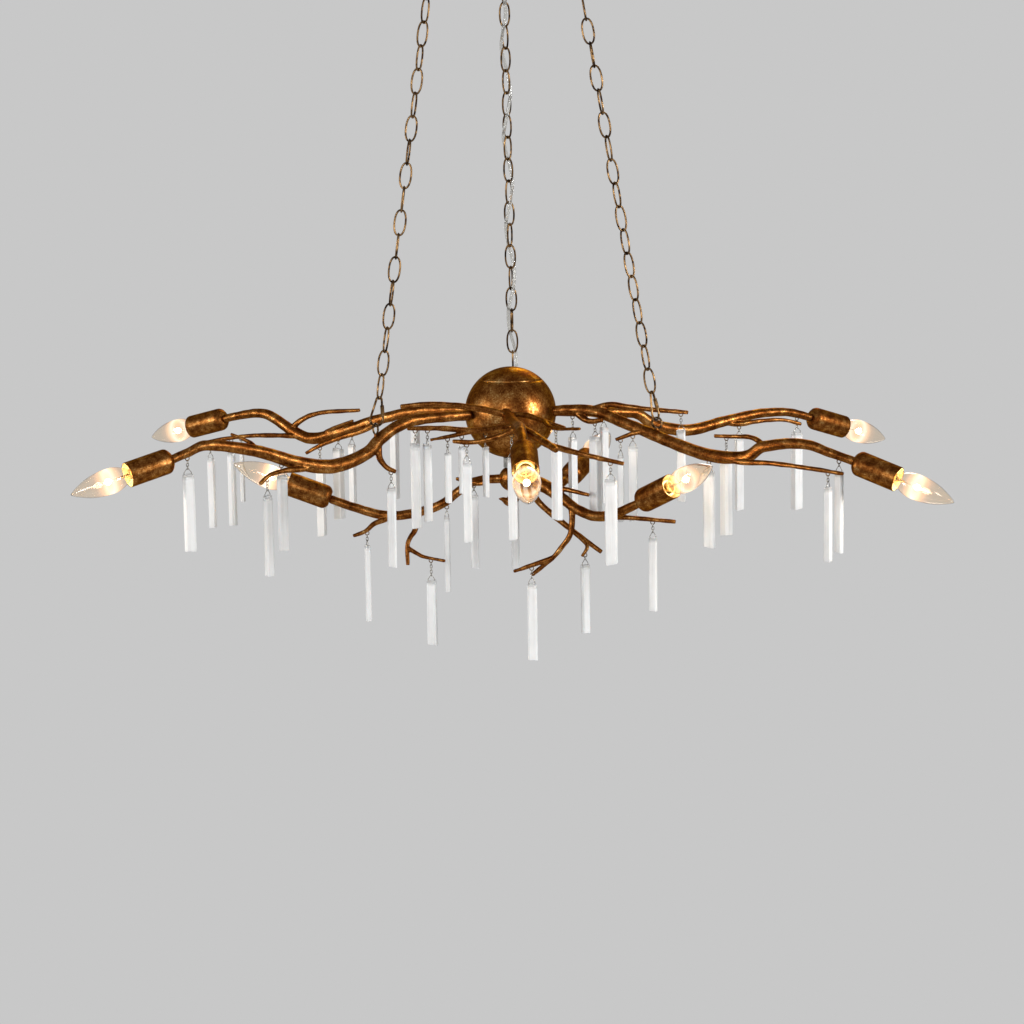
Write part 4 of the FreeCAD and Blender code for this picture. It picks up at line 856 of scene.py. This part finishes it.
knob_rows = [(*(hub_centre + UP * height * MM), radius * MM)
             for radius, height in sphere_rows(KNOB, KNOB_TIP - KNOB, KNOB - KNOB_TIP, 24)]
hub_mesh = tubes_mesh([knob_rows, hub_rows(HUB_ROOT_SHARES), hub_rows(HUB_LEAF_SHARES)])
hub_mesh = forge(hub_mesh, "hub_forged", HUB_VOXEL, hammer=HUB_HAMMER, lost_skin=-HUB_SHRINK)
hub = new_object("hub_forged", hub_mesh)
finish_piece(hub, "frame", "lower_hub", branch_leaf)

# %% [markdown]
# ## Chains
#
# A chain link is one piece of wire bent to an oval and closed. Every link's middle and its
# two directions come from its solid, and a round wire follows the same oval.

# %% Bend the links
LINK_LENGTH = 34.5 * MM
LINK_WIDTH = 16.5 * MM
LINK_WIRE = 2.5 * MM
LINK_FULLNESS = 0.88


def link_route(middle, long_way, wide_way, steps=40):
    """Closed chain link, an oval a little fuller than an ellipse."""
    route = []
    for step in range(steps):
        angle = 2 * math.pi * step / steps
        out, rise = (math.copysign(abs(v) ** LINK_FULLNESS, v) for v in (math.cos(angle), math.sin(angle)))
        route.append(middle + wide_way * (out * (LINK_WIDTH - LINK_WIRE) / 2)
                     + long_way * (rise * (LINK_LENGTH - LINK_WIRE) / 2))
    return route


for node in ("chain_left", "chain_right", "chain_back"):
    frames = [ways_of(points) for points in solids_of(node)]
    routes = [link_route(middle, *ways[:2]) for middle, ways in frames]
    chain = wire_curve(node + "_links", routes, LINK_WIRE / 2)
    finish_piece(chain, "frame", node, aged_brass)
    print(node, "links", len(routes))

# %% Round the hooks
HOOK_VOXEL = 0.6 * MM
net = welded("canopy_hooks")
hook_mesh = bpy.data.meshes.new("hooks")
net.to_mesh(hook_mesh)
net.free()
hook_mesh = forge(hook_mesh, "hooks_bent", HOOK_VOXEL, hammer=0)
hooks = new_object("hooks_bent", hook_mesh)
finish_piece(hooks, "frame", "canopy_hooks", aged_brass)

# %% Bend the pear connectors and turn their gates
PEAR_WIRE = 2.9 * MM
PEAR_TOP_WIDTH = 10.6 * MM
PEAR_BOTTOM_WIDTH = 21 * MM
GATE_RADIUS = 2.5 * MM
GATE_PLACES = (-6, -5.6, 5.6, 6)


def oval_route(centre, long_way, wide_way, length, width, steps=10, top_width=None):
    """Loop of two straight sides and two round ends; a pear when its top is narrower."""
    route = []
    for radius, sign in (((top_width or width) / 2, 1), (width / 2, -1)):
        for step in range(steps + 1):
            angle = math.pi * step / steps
            out = math.cos(angle) * radius * sign
            rise = sign * (length / 2 - radius + math.sin(angle) * radius)
            route.append(centre + wide_way * out + long_way * rise)
    return route


routes, gates = [], []
for middle, pear_rise, wide, low, high in pears:
    wide = (wide - pear_rise * wide.dot(pear_rise)).normalized()
    route = oval_route(middle, pear_rise, wide, high - low - PEAR_WIRE, PEAR_BOTTOM_WIDTH - PEAR_WIRE,
                       top_width=PEAR_TOP_WIDTH - PEAR_WIRE)
    side = route[0] - route[-1]
    routes.append(route)
    gates.append([route[-1] + side / 2 + side.normalized() * place * MM for place in GATE_PLACES])
pear_loops = wire_curve("pear_loops", routes, PEAR_WIRE / 2)
finish_piece(pear_loops, "frame", "chain_connectors", aged_brass)
pear_gates = wire_curve("pear_gates", gates, GATE_RADIUS, closed=False)
finish_piece(pear_gates, "frame", "chain_connectors", aged_brass)
print("connectors", len(routes))

# %% [markdown]
# ## Power cord
#
# A clear cord winds down the rear chain and drops behind the ball into its inlet. It goes
# round the chain about once in four links, always through the corners between two links,
# so its route is worked out from the links' middles.

# %% Wind the cord
CORD_DIAMETER = 4.4 * MM
CORD_SIDE = 4.7 * MM
CORD_CORNER = 4.3 * math.sqrt(2) * MM
CORD_HALF_LINKS = 33
CORD_FIRST_TURN = 244
CORD_TURN_STEP = 43
CORD_EXIT_PLACES = ((0, 92.5, 13.2), (0, 92.5, -14.8), (0, 97, -38.8))
INLET_BEARING = math.radians(80)
INLET_RISE = math.radians(15)
INLET_LENGTH = 28 * MM
CORD_TAIL = 8 * MM
SLACK_SHARES = ((870, 21, 238), (740, 13, 156), (591, 7, 100), (442, 2, 62), (293, 0, 40), (144, -1, 26))
link_middles = sorted((ways_of(points)[0] for points in solids_of("chain_back")), key=lambda place: place.z)
span = link_middles[-1] - link_middles[0]
across = span.normalized().cross(Vector((0, 1, 0))).normalized()
outward = across.cross(span.normalized())
canopy_floor = Vector((0, 0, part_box("canopy")[0][2]))
cord_route = [canopy_floor + Vector(place) * MM for place in CORD_EXIT_PLACES]
for half in range(CORD_HALF_LINKS):
    spot = link_middles[-2] - span / (len(link_middles) - 1) * (half / 2)
    angle = math.radians(CORD_FIRST_TURN + CORD_TURN_STEP * half)
    cord_route.append(spot + turned(angle, across, outward) * (CORD_CORNER if half % 2 else CORD_SIDE))
level_way = Vector((math.cos(INLET_BEARING), math.sin(INLET_BEARING), 0))
inlet_way = turned(INLET_RISE, level_way, UP)
inlet = ball_centre + inlet_way * (BALL_RADIUS + INLET_LENGTH)
slack = max((centre for centre, normal in seat_rings), key=lambda place: place.y) - inlet
for row in SLACK_SHARES:
    along, sideways, lift = (share / WHOLE for share in row)
    cord_route.append(inlet + slack * along + Vector((sideways, 0, lift)) * slack.length)
cord_route += [inlet, ball_centre + inlet_way * (BALL_RADIUS - CORD_TAIL)]
print("cord points", len(cord_route))

# %% Clear jacket over tinned wire
def clear_jacket():
    """Clear plastic over a lay of tinned strands."""
    finish = Finish(bpy.data.materials.new("clear_jacket"))
    lay = {"Vector": finish.place(), "Scale": 260.0, "Distortion": 2.0, "Detail": 2.0}
    strand = finish.add("TexWave", lay, wave_type="BANDS", bands_direction="Z")
    return finish.skin({
        "Base Color": finish.ramp(strand, (0.2, colour("#c9c7c1")), (0.8, colour("#f2f2ef"))),
        "Roughness": strand * 0.1 + 0.18, "Transmission Weight": 0.75, "IOR": 1.2, "Coat Weight": 0.6})


cord = wire_curve("power_cord_clear", [cord_route], CORD_DIAMETER / 2, closed=False, detail=4, kind="NURBS")
cord.data.resolution_u = 8
finish_piece(cord, "frame", "power_cord", clear_jacket())
print("cord finish", cord.data.materials[0].name)

# %% [markdown]
# ## Lamps
#
# Each lamp is a turned cup, a socket in it and a candle bulb. All nine are the same, so one
# mesh of each is placed nine times, on the line that the bulb's solid gives.

# %% Find the nine lamp lines
CUP_TO_BULB = 90 * MM
lamp_lines = []
bulb_solids = solids_of("bulbs")
for cup in solids_of("socket_cups"):
    cup_middle = ways_of(cup)[0]
    near = [solid for solid in bulb_solids if (ways_of(solid)[0] - cup_middle).length < CUP_TO_BULB]
    bulb = np.vstack(near)
    middle, ways = ways_of(bulb)
    way = ways[0] if (middle - cup_middle).dot(ways[0]) > 0 else -ways[0]
    bulb_foot = middle + way * reach_along(bulb, middle, way)[0]
    cup_foot = middle + way * reach_along(cup, middle, way)[0]
    lamp_lines.append((way, bulb_foot, cup_foot))
print("lamps", len(lamp_lines), "bulb foot above cup foot, mm", round((bulb_foot - cup_foot).length / MM, 1))

# %% The outlines of the cup, the socket and the bulb's screw cap
CUP_ROWS = [
    (0, 0), (9.6, 0), (10.5, 0.6), (12.6, 2.2), (14.6, 4.4), (15.4, 6.6), (15.6, 9.0), (15.6, 57.6),
    (15.45, 58.6), (15.0, 59.0), (14.55, 58.6), (14.4, 57.6), (14.4, 9.0), (13.6, 5.4), (11.0, 4.2), (0, 4.0)]
SOCKET_ROWS = [
    (0, 4.2), (9.6, 4.2), (10.3, 5.0), (10.5, 6.5), (10.5, 50.5), (10.2, 52.4), (9.5, 53.2), (8.4, 53.0),
    (7.6, 52.0), (7.4, 50.0), (7.4, 34.2), (0, 34.2)]
THREAD_RADIUS = 5.1
THREAD_DEPTH = 0.75
THREAD_PITCH = 2.4
THREAD_FOOT = 3.0
SCREW_ROWS = [(0, 0), (2.4, 0), (2.6, 1.6), (4.6, THREAD_FOOT)]
for k in range(1, 36):
    swell = math.sin(2 * math.pi * k / 6) ** 2
    SCREW_ROWS.append((THREAD_RADIUS + THREAD_DEPTH * swell, THREAD_FOOT + THREAD_PITCH * k / 6))
SCREW_ROWS += [(5.8, 17.8), (6.3, 19.0), (6.2, 20.0), (0, 20.0)]
print("screw rows", len(SCREW_ROWS))

# %% The outline of the glass and its stem
def smooth_profile(points, steps):
    """Outline of a turned piece with more points, none of them past its axis."""
    return [(max(float(x), 0.0), float(y)) for x, y in smooth_rows(points, steps)]


GLASS_WALL = 0.5
GLASS_ROWS = smooth_profile([
    (6.2, 18.6), (6.6, 21.0), (9.6, 25.5), (13.6, 33.5), (15.75, 44.0), (15.5, 55.0), (13.9, 67.0),
    (11.2, 77.0), (7.6, 86.0), (4.9, 91.5), (2.6, 95.6), (1.1, 97.5)], 5) + [(0.6, 97.9), (0, 98.0)]
GLASS_ROWS += [(max(radius - GLASS_WALL, 0), height - GLASS_WALL * (height > 60))
               for radius, height in GLASS_ROWS[::-1]]
STEM_ROWS = [(0, 19.5), (4.2, 19.5), (3.0, 22.0), (1.9, 26.0), (1.7, 30.0), (1.2, 31.6), (0, 32.0)]
print("glass rows", len(GLASS_ROWS))

# %% [markdown]
# ### Lit glass
#
# The bulbs burn in the picture. The glass is a thin clear shell, and a warm emission that
# fades along the bulb's own axis stands in for the glow round the filament; a small warm
# light inside does the lighting, and the glass casts no shadow so that its light gets out.

# %% Lit glass and glowing wire
GLOW_HEIGHT = 0.048
GLOW_LENGTH = 0.022


def lit_glass():
    """Thin clear glass that glows near the filament, with painted shade at its grazing edges."""
    finish = Finish(bpy.data.materials.new("lit_glass"))
    own = finish.place()
    far = abs(finish.add("SeparateXYZ", {0: own}, output="Z") - GLOW_HEIGHT) / GLOW_LENGTH
    glow = finish.ramp(far, (0.0, colour("#fff0d8")), (0.3, colour("#dca66c")), (0.6, colour("#6b4429")),
                       (1.0, colour("#000000")))
    # painted shade: the glass's colour darkens from near white to brown towards its grazing edges, for the
    # dark outline that clear glass shows
    edge = finish.spread(finish.add("LayerWeight", {"Blend": 0.5}, output="Facing"), 0.72, 1.0, 0.0, 1.0)
    return finish.skin({
        "Base Color": finish.blend(edge, colour("#fdf4e8"), colour("#8f7b68")),
        "Roughness": finish.noise(own, 120.0) * 0.03 + 0.005, "Transmission Weight": 1.0, "IOR": 1.45,
        "Emission Color": glow, "Emission Strength": 0.34})


def glowing(name, tint, strength):
    """Hot wire with a slight flicker along it."""
    finish = Finish(bpy.data.materials.new(name))
    tone = finish.blend(finish.noise(finish.place(), 900.0), colour(tint), colour("#fff4dc"))
    return finish.skin({
        "Base Color": tone, "Roughness": 0.4, "Emission Color": tone, "Emission Strength": strength})


glass = lit_glass()
filament_glow = glowing("filament_glow", "#ffb060", 28.0)
print("finishes so far", len(bpy.data.materials))

# %% Coil and lead wires, as meshes that nine lamps can share
FILAMENT_HEIGHT = 49
FILAMENT_STEPS = 48
HOOP_RADIUS = 3.4
HOOP_RISE = 5.5
COIL_RADIUS = 0.35
LEAD_ROWS = ((1.0, 20), (1.2, 32), (1.1, FILAMENT_HEIGHT - 5.1))
LEAD_RADIUS = 0.28 * MM


def filament_route():
    """Coil hung in a hoop from two lead wires."""
    route = []
    for step in range(FILAMENT_STEPS + 1):
        sweep = math.pi * (0.1 + 1.8 * step / FILAMENT_STEPS)
        turn = 2 * math.pi * step / 3
        out = (HOOP_RADIUS + COIL_RADIUS * math.sin(turn)) * math.sin(sweep)
        height = FILAMENT_HEIGHT - HOOP_RISE * math.cos(sweep)
        route.append(Vector((out * MM, COIL_RADIUS * math.cos(turn) * MM, height * MM)))
    return route


lead_routes = [[Vector((out * MM * side, 0, height * MM)) for out, height in LEAD_ROWS] for side in (-1, 1)]
coil = as_mesh(wire_curve("filament", [filament_route()], COIL_RADIUS * MM, closed=False, detail=2))
leads = as_mesh(wire_curve("lead_wires", lead_routes, LEAD_RADIUS, closed=False, detail=2))
print("coil corners", len(coil.vertices))

# %% The parts that all lamps share, and the cup's lining
RIM_ROW = 9
LINING_GAP = 0.3
CUP_FLOOR = 10 * MM
LAMP_PIECES = (
    ("glass", turned_mesh("bulb_glass", GLASS_ROWS, 64, closed=True), glass),
    ("screw", turned_mesh("screw_cap", SCREW_ROWS), lamp_brass),
    ("filament", coil, filament_glow),
    ("leads", leads, bright_nickel),
    ("stem", turned_mesh("glass_stem", STEM_ROWS, 24), glass),
    ("cup", turned_mesh("lamp_cup", CUP_ROWS, 64), cup_leaf),
    ("socket", turned_mesh("lamp_socket", SOCKET_ROWS), cream_plastic),
)
for kind, mesh, finish in LAMP_PIECES:
    mesh.materials.append(finish)
cup_mesh = bpy.data.meshes["lamp_cup"]
cup_mesh.materials.append(cream_plastic)
lining_radius = (CUP_ROWS[RIM_ROW][0] - LINING_GAP) * MM
for face in cup_mesh.polygons:
    reach = math.hypot(face.center.x, face.center.y)
    face.material_index = int(reach < lining_radius and face.center.z > CUP_FLOOR)
print("lined faces", sum(face.material_index for face in cup_mesh.polygons))

# %% Place the nine lamps
LAMP_POWER = 0.17
LAMP_COLOUR = (1.0, 0.82, 0.58)
LAMP_SIZE = 4 * MM
CUP_NODES = {"cup": ("socket_cups", "gold_leaf_iron"), "socket": ("lamp_holders", "lamp_holder")}
for number, (way, bulb_foot, cup_foot) in enumerate(lamp_lines, start=1):
    for kind, mesh, finish in LAMP_PIECES:
        node, slot = CUP_NODES.get(kind, ("bulbs", "bulb_glass"))
        piece = new_object("lamp_%s_%d" % (kind, number), mesh)
        piece.matrix_world = standing(cup_foot if kind in CUP_NODES else bulb_foot, way)
        piece.visible_shadow = kind not in ("glass", "stem")
        finish_piece(piece, "frame", node, None)
    lamp = bpy.data.lights.new("lamp_light_%d" % number, "POINT")
    lamp.energy = LAMP_POWER
    lamp.color = LAMP_COLOUR
    lamp.shadow_soft_size = LAMP_SIZE
    new_object(lamp.name, lamp).location = bulb_foot + way * FILAMENT_HEIGHT * MM
print("lamps placed", len(lamp_lines))

# %% [markdown]
# ## Selenite sticks
#
# Raw selenite splits along its fibres, so a stick has flat sides that wander a little, crisp
# long edges, and ends that are chipped rather than cut. Each stick is lofted from its
# solid's width, depth and ends, with its own seed.

# %% The section of a stick
SECTION = ((-1.0, -0.55), (-0.62, -1.0), (0.66, -0.94), (1.0, -0.30), (0.72, 0.96), (-0.80, 1.0))
SIDE_STEPS = 4


def section_of(dice):
    """Uneven six-sided outline of a stick, with points along its sides."""
    shape = [(a * dice.uniform(0.93, 1.0), b * dice.uniform(0.9, 1.0)) for a, b in SECTION]
    if dice.random() < 0.5:
        shape = [(-a, b) for a, b in shape[::-1]]
    return [(a + (c - a) * k / SIDE_STEPS, b + (d - b) * k / SIDE_STEPS)
            for (a, b), (c, d) in zip(shape, shape[1:] + shape[:1]) for k in range(SIDE_STEPS)]


print("corners round a stick", len(SECTION) * SIDE_STEPS)

# %% Split a stick
STICK_LEVELS = 26
END_SLANT = 0.10
DEPTH_SLANT = 0.72
FLUTE_SHARE = 0.035
END_EDGE_SHARE = 0.955
END_FACE_SHARE = 0.55
END_ROUND = 0.1 * MM
CHIP = 1.44 * MM
SMOOTH_EDGE = math.radians(22)
SHARP_EDGE = math.radians(24)


def stick_mesh(name, stick, seed):
    """Chipped and fluted stick inside its solid's box."""
    wide = level(stick.ways[1])
    deep = UP.cross(wide)
    half_width, half_depth = (max(abs(v) for v in reach_along(stick.points, stick.middle, way))
                              for way in (wide, deep))
    dice = random.Random(seed)
    outline = section_of(dice)
    start = Vector((dice.uniform(0, 9), dice.uniform(0, 9), dice.uniform(0, 9)))
    taper = dice.uniform(-0.06, 0.06)
    slope = END_SLANT * half_width
    slant_height = slope * (1 + DEPTH_SLANT)
    rings = [(0, END_FACE_SHARE, END_ROUND), (0, END_EDGE_SHARE, 0)]
    rings += [((k + 0.25) / STICK_LEVELS, 1, 0) for k in range(STICK_LEVELS)]
    rings += [(1, END_EDGE_SHARE, 0), (1, END_FACE_SHARE, -END_ROUND)]
    corners = []
    for share, shrink, lift in rings:
        end = 2 * share - 1
        for a, b in outline:
            flute = 1 - FLUTE_SHARE * (1 + noise.noise(start + Vector((a * 2.2, b * 2.2, share * 1.6))))
            girth = flute * shrink * (1 - taper * (share - 0.5) - abs(taper) / 2)
            height = stick.middle.z - stick.tall / 2 + slant_height + share * (stick.tall - 2 * slant_height)
            height += slope * (a + b * DEPTH_SLANT) * end + lift
            if share in (0, 1):
                height -= end * CHIP * max(0, noise.noise(start * 2 + Vector((a * 3, b * 3, share))))
            place = stick.middle + wide * (a * half_width * girth) + deep * (b * half_depth * girth)
            corners.append((place.x, place.y, height))
    count = len(outline)
    faces = [(row + k, row + (k + 1) % count, row + count + (k + 1) % count, row + count + k)
             for row in range(0, len(corners) - count, count) for k in range(count)]
    faces += [tuple(reversed(range(count))), tuple(range(len(corners) - count, len(corners)))]
    mesh = bpy.data.meshes.new(name)
    mesh.from_pydata(corners, [], faces)
    net = bmesh.new()
    net.from_mesh(mesh)
    bmesh.ops.recalc_face_normals(net, faces=net.faces)
    for edge in net.edges:
        edge.smooth = edge.calc_face_angle(0) < SMOOTH_EDGE
    net.to_mesh(mesh)
    net.free()
    mesh.shade_smooth()
    mesh.set_sharp_from_angle(angle=SHARP_EDGE)
    return mesh, wide

# %% Hang the sticks with their links and bails
SMALL_LINK_LENGTH = 5.6 * MM
SMALL_LINK_WIDTH = 3.8 * MM
SMALL_LINK_WIRE = 0.8 * MM
BAIL_WIRE = 0.9 * MM
BAIL_DEPTH = 5 * MM
BAIL_SHARE = 0.62
BAIL_BEND = 0.7 * MM
BAIL_SIDE = 1.5 * MM
BAIL_FOOT_SHARE = 0.75
for seed, row in enumerate(hung):
    label, body, node, stick = row["label"], row["body"], row["node"], row["stick"]
    mesh, wide = stick_mesh(label + "_stick", stick, seed)
    finish_piece(new_object(label + "_stick", mesh), body, node, white_selenite)
    routes = [oval_route(link.middle, UP, level(link.ways[1]), SMALL_LINK_LENGTH - SMALL_LINK_WIRE,
                         SMALL_LINK_WIDTH - SMALL_LINK_WIRE, steps=6) for link in row["links"]]
    rings = wire_curve(label + "_links", routes, SMALL_LINK_WIRE / 2, detail=1)
    finish_piece(rings, body, node, bright_nickel)
    out = wide * reach_along(stick.points, stick.middle, wide)[1] * BAIL_SHARE
    shoulder = stick.middle + UP * (stick.tall / 2 + BAIL_WIRE)
    middle, points = row["bail"].middle, row["bail"].points
    top = middle + UP * (reach_along(points, middle, UP)[1] - BAIL_WIRE / 2)
    loop = [top - wide * BAIL_BEND, shoulder - out, shoulder - out - UP * BAIL_SIDE,
            shoulder - out * BAIL_FOOT_SHARE - UP * BAIL_DEPTH]
    loop += [place + wide * 2 * (middle - place).dot(wide) for place in loop[::-1]]
    bail = wire_curve(label + "_bail", [loop], BAIL_WIRE / 2, detail=2)
    finish_piece(bail, body, node, bright_nickel)
print("sticks hung", len(hung))

# %% [markdown]
# ## Canopy and small parts
#
# The ceiling canopy is above the picture. It is spun like the ball, so it gets the same
# leaf; its screws, the bracket, the stem and the cord's bushings keep their CAD shape.

# %% Finish the pieces that keep their CAD shape
for node, finish in (("canopy", ball_leaf), ("canopy_screws", aged_brass), ("ceiling_bracket", zinc_plate),
                     ("ball_stem", zinc_plate), ("cord_bushings", dark_plastic)):
    data = nodes[node].data
    data.materials.clear()
    data.materials.append(finish)
    print(node, finish.name)

# %% [markdown]
# ## Studio
#
# A pale disc of floor, a key light from the right front at about the ball's height, where
# the picture's highlight on the ball comes from, a weaker light on either side of the
# camera and a faint one behind, in a plain grey world. Camera and see-through rays meet
# the pale grey backdrop in full and glossy rays meet part of it, so it shows in metal and
# glass.

# %% Floor
FLOOR_DROP = 2.45
FLOOR_RADIUS = 2400
BACKDROP = colour("#c8c8c8")
floor_mesh = turned_mesh("floor", [(0, 0), (FLOOR_RADIUS / 2, 0), (FLOOR_RADIUS, 0)], 96)
floor = new_object("floor", floor_mesh)
floor.location = (0, 0, -FLOOR_DROP)
paint = Finish(bpy.data.materials.new("pale_floor"))
grain = paint.add("TexNoise", {"Scale": 3.0, "Detail": 4.0})
floor_mesh.materials.append(paint.skin({
    "Base Color": paint.blend(grain * 0.2, BACKDROP, colour("#b9babb")), "Roughness": 0.85,
    "Emission Color": BACKDROP, "Emission Strength": 0.25}))
print("floor below the ball", round(FLOOR_DROP + ball_centre.z, 3))

# %% Lights
def soft_light(name, place, size, power):
    """Square light at a place, turned to the ball."""
    data = bpy.data.lights.new(name, "AREA")
    data.size = size
    data.energy = power
    aim = (ball_centre - Vector(place)).to_track_quat("-Z", "Y")
    new_object(name, data).matrix_world = Matrix.Translation(place) @ aim.to_matrix().to_4x4()


soft_light("key", (2.7, -1.5, 0.1), 0.8, 74)
soft_light("front_fill", (-0.9, -3.6, 0.2), 1.1, 38)
soft_light("left_fill", (-2.6, -1.1, -0.2), 0.8, 36)
soft_light("rear_rim", (0.6, 2.2, 0.8), 1.0, 14)
print("lights", len(bpy.data.lights))

# %% World
GLOSSY_SHARE = 0.28
WORLD_STRENGTH = 0.21
bpy.context.scene.world = bpy.data.worlds.new("studio")
sky = Finish(bpy.context.scene.world)
seen, glossy, through = (
    sky.add("LightPath", output="Is %s Ray" % kind) for kind in ("Camera", "Glossy", "Transmission"))
around = sky.add("Background", {"Color": (1, 1, 1, 1), "Strength": WORLD_STRENGTH})
behind = sky.add("Background", {"Color": BACKDROP, "Strength": 1.0})
direct = seen + glossy * GLOSSY_SHARE + through
sky.close(sky.add("MixShader", {0: direct, 1: around, 2: behind}), "OutputWorld")
bpy.context.scene.view_settings.view_transform = "Standard"
print("world", bpy.context.scene.world.name)
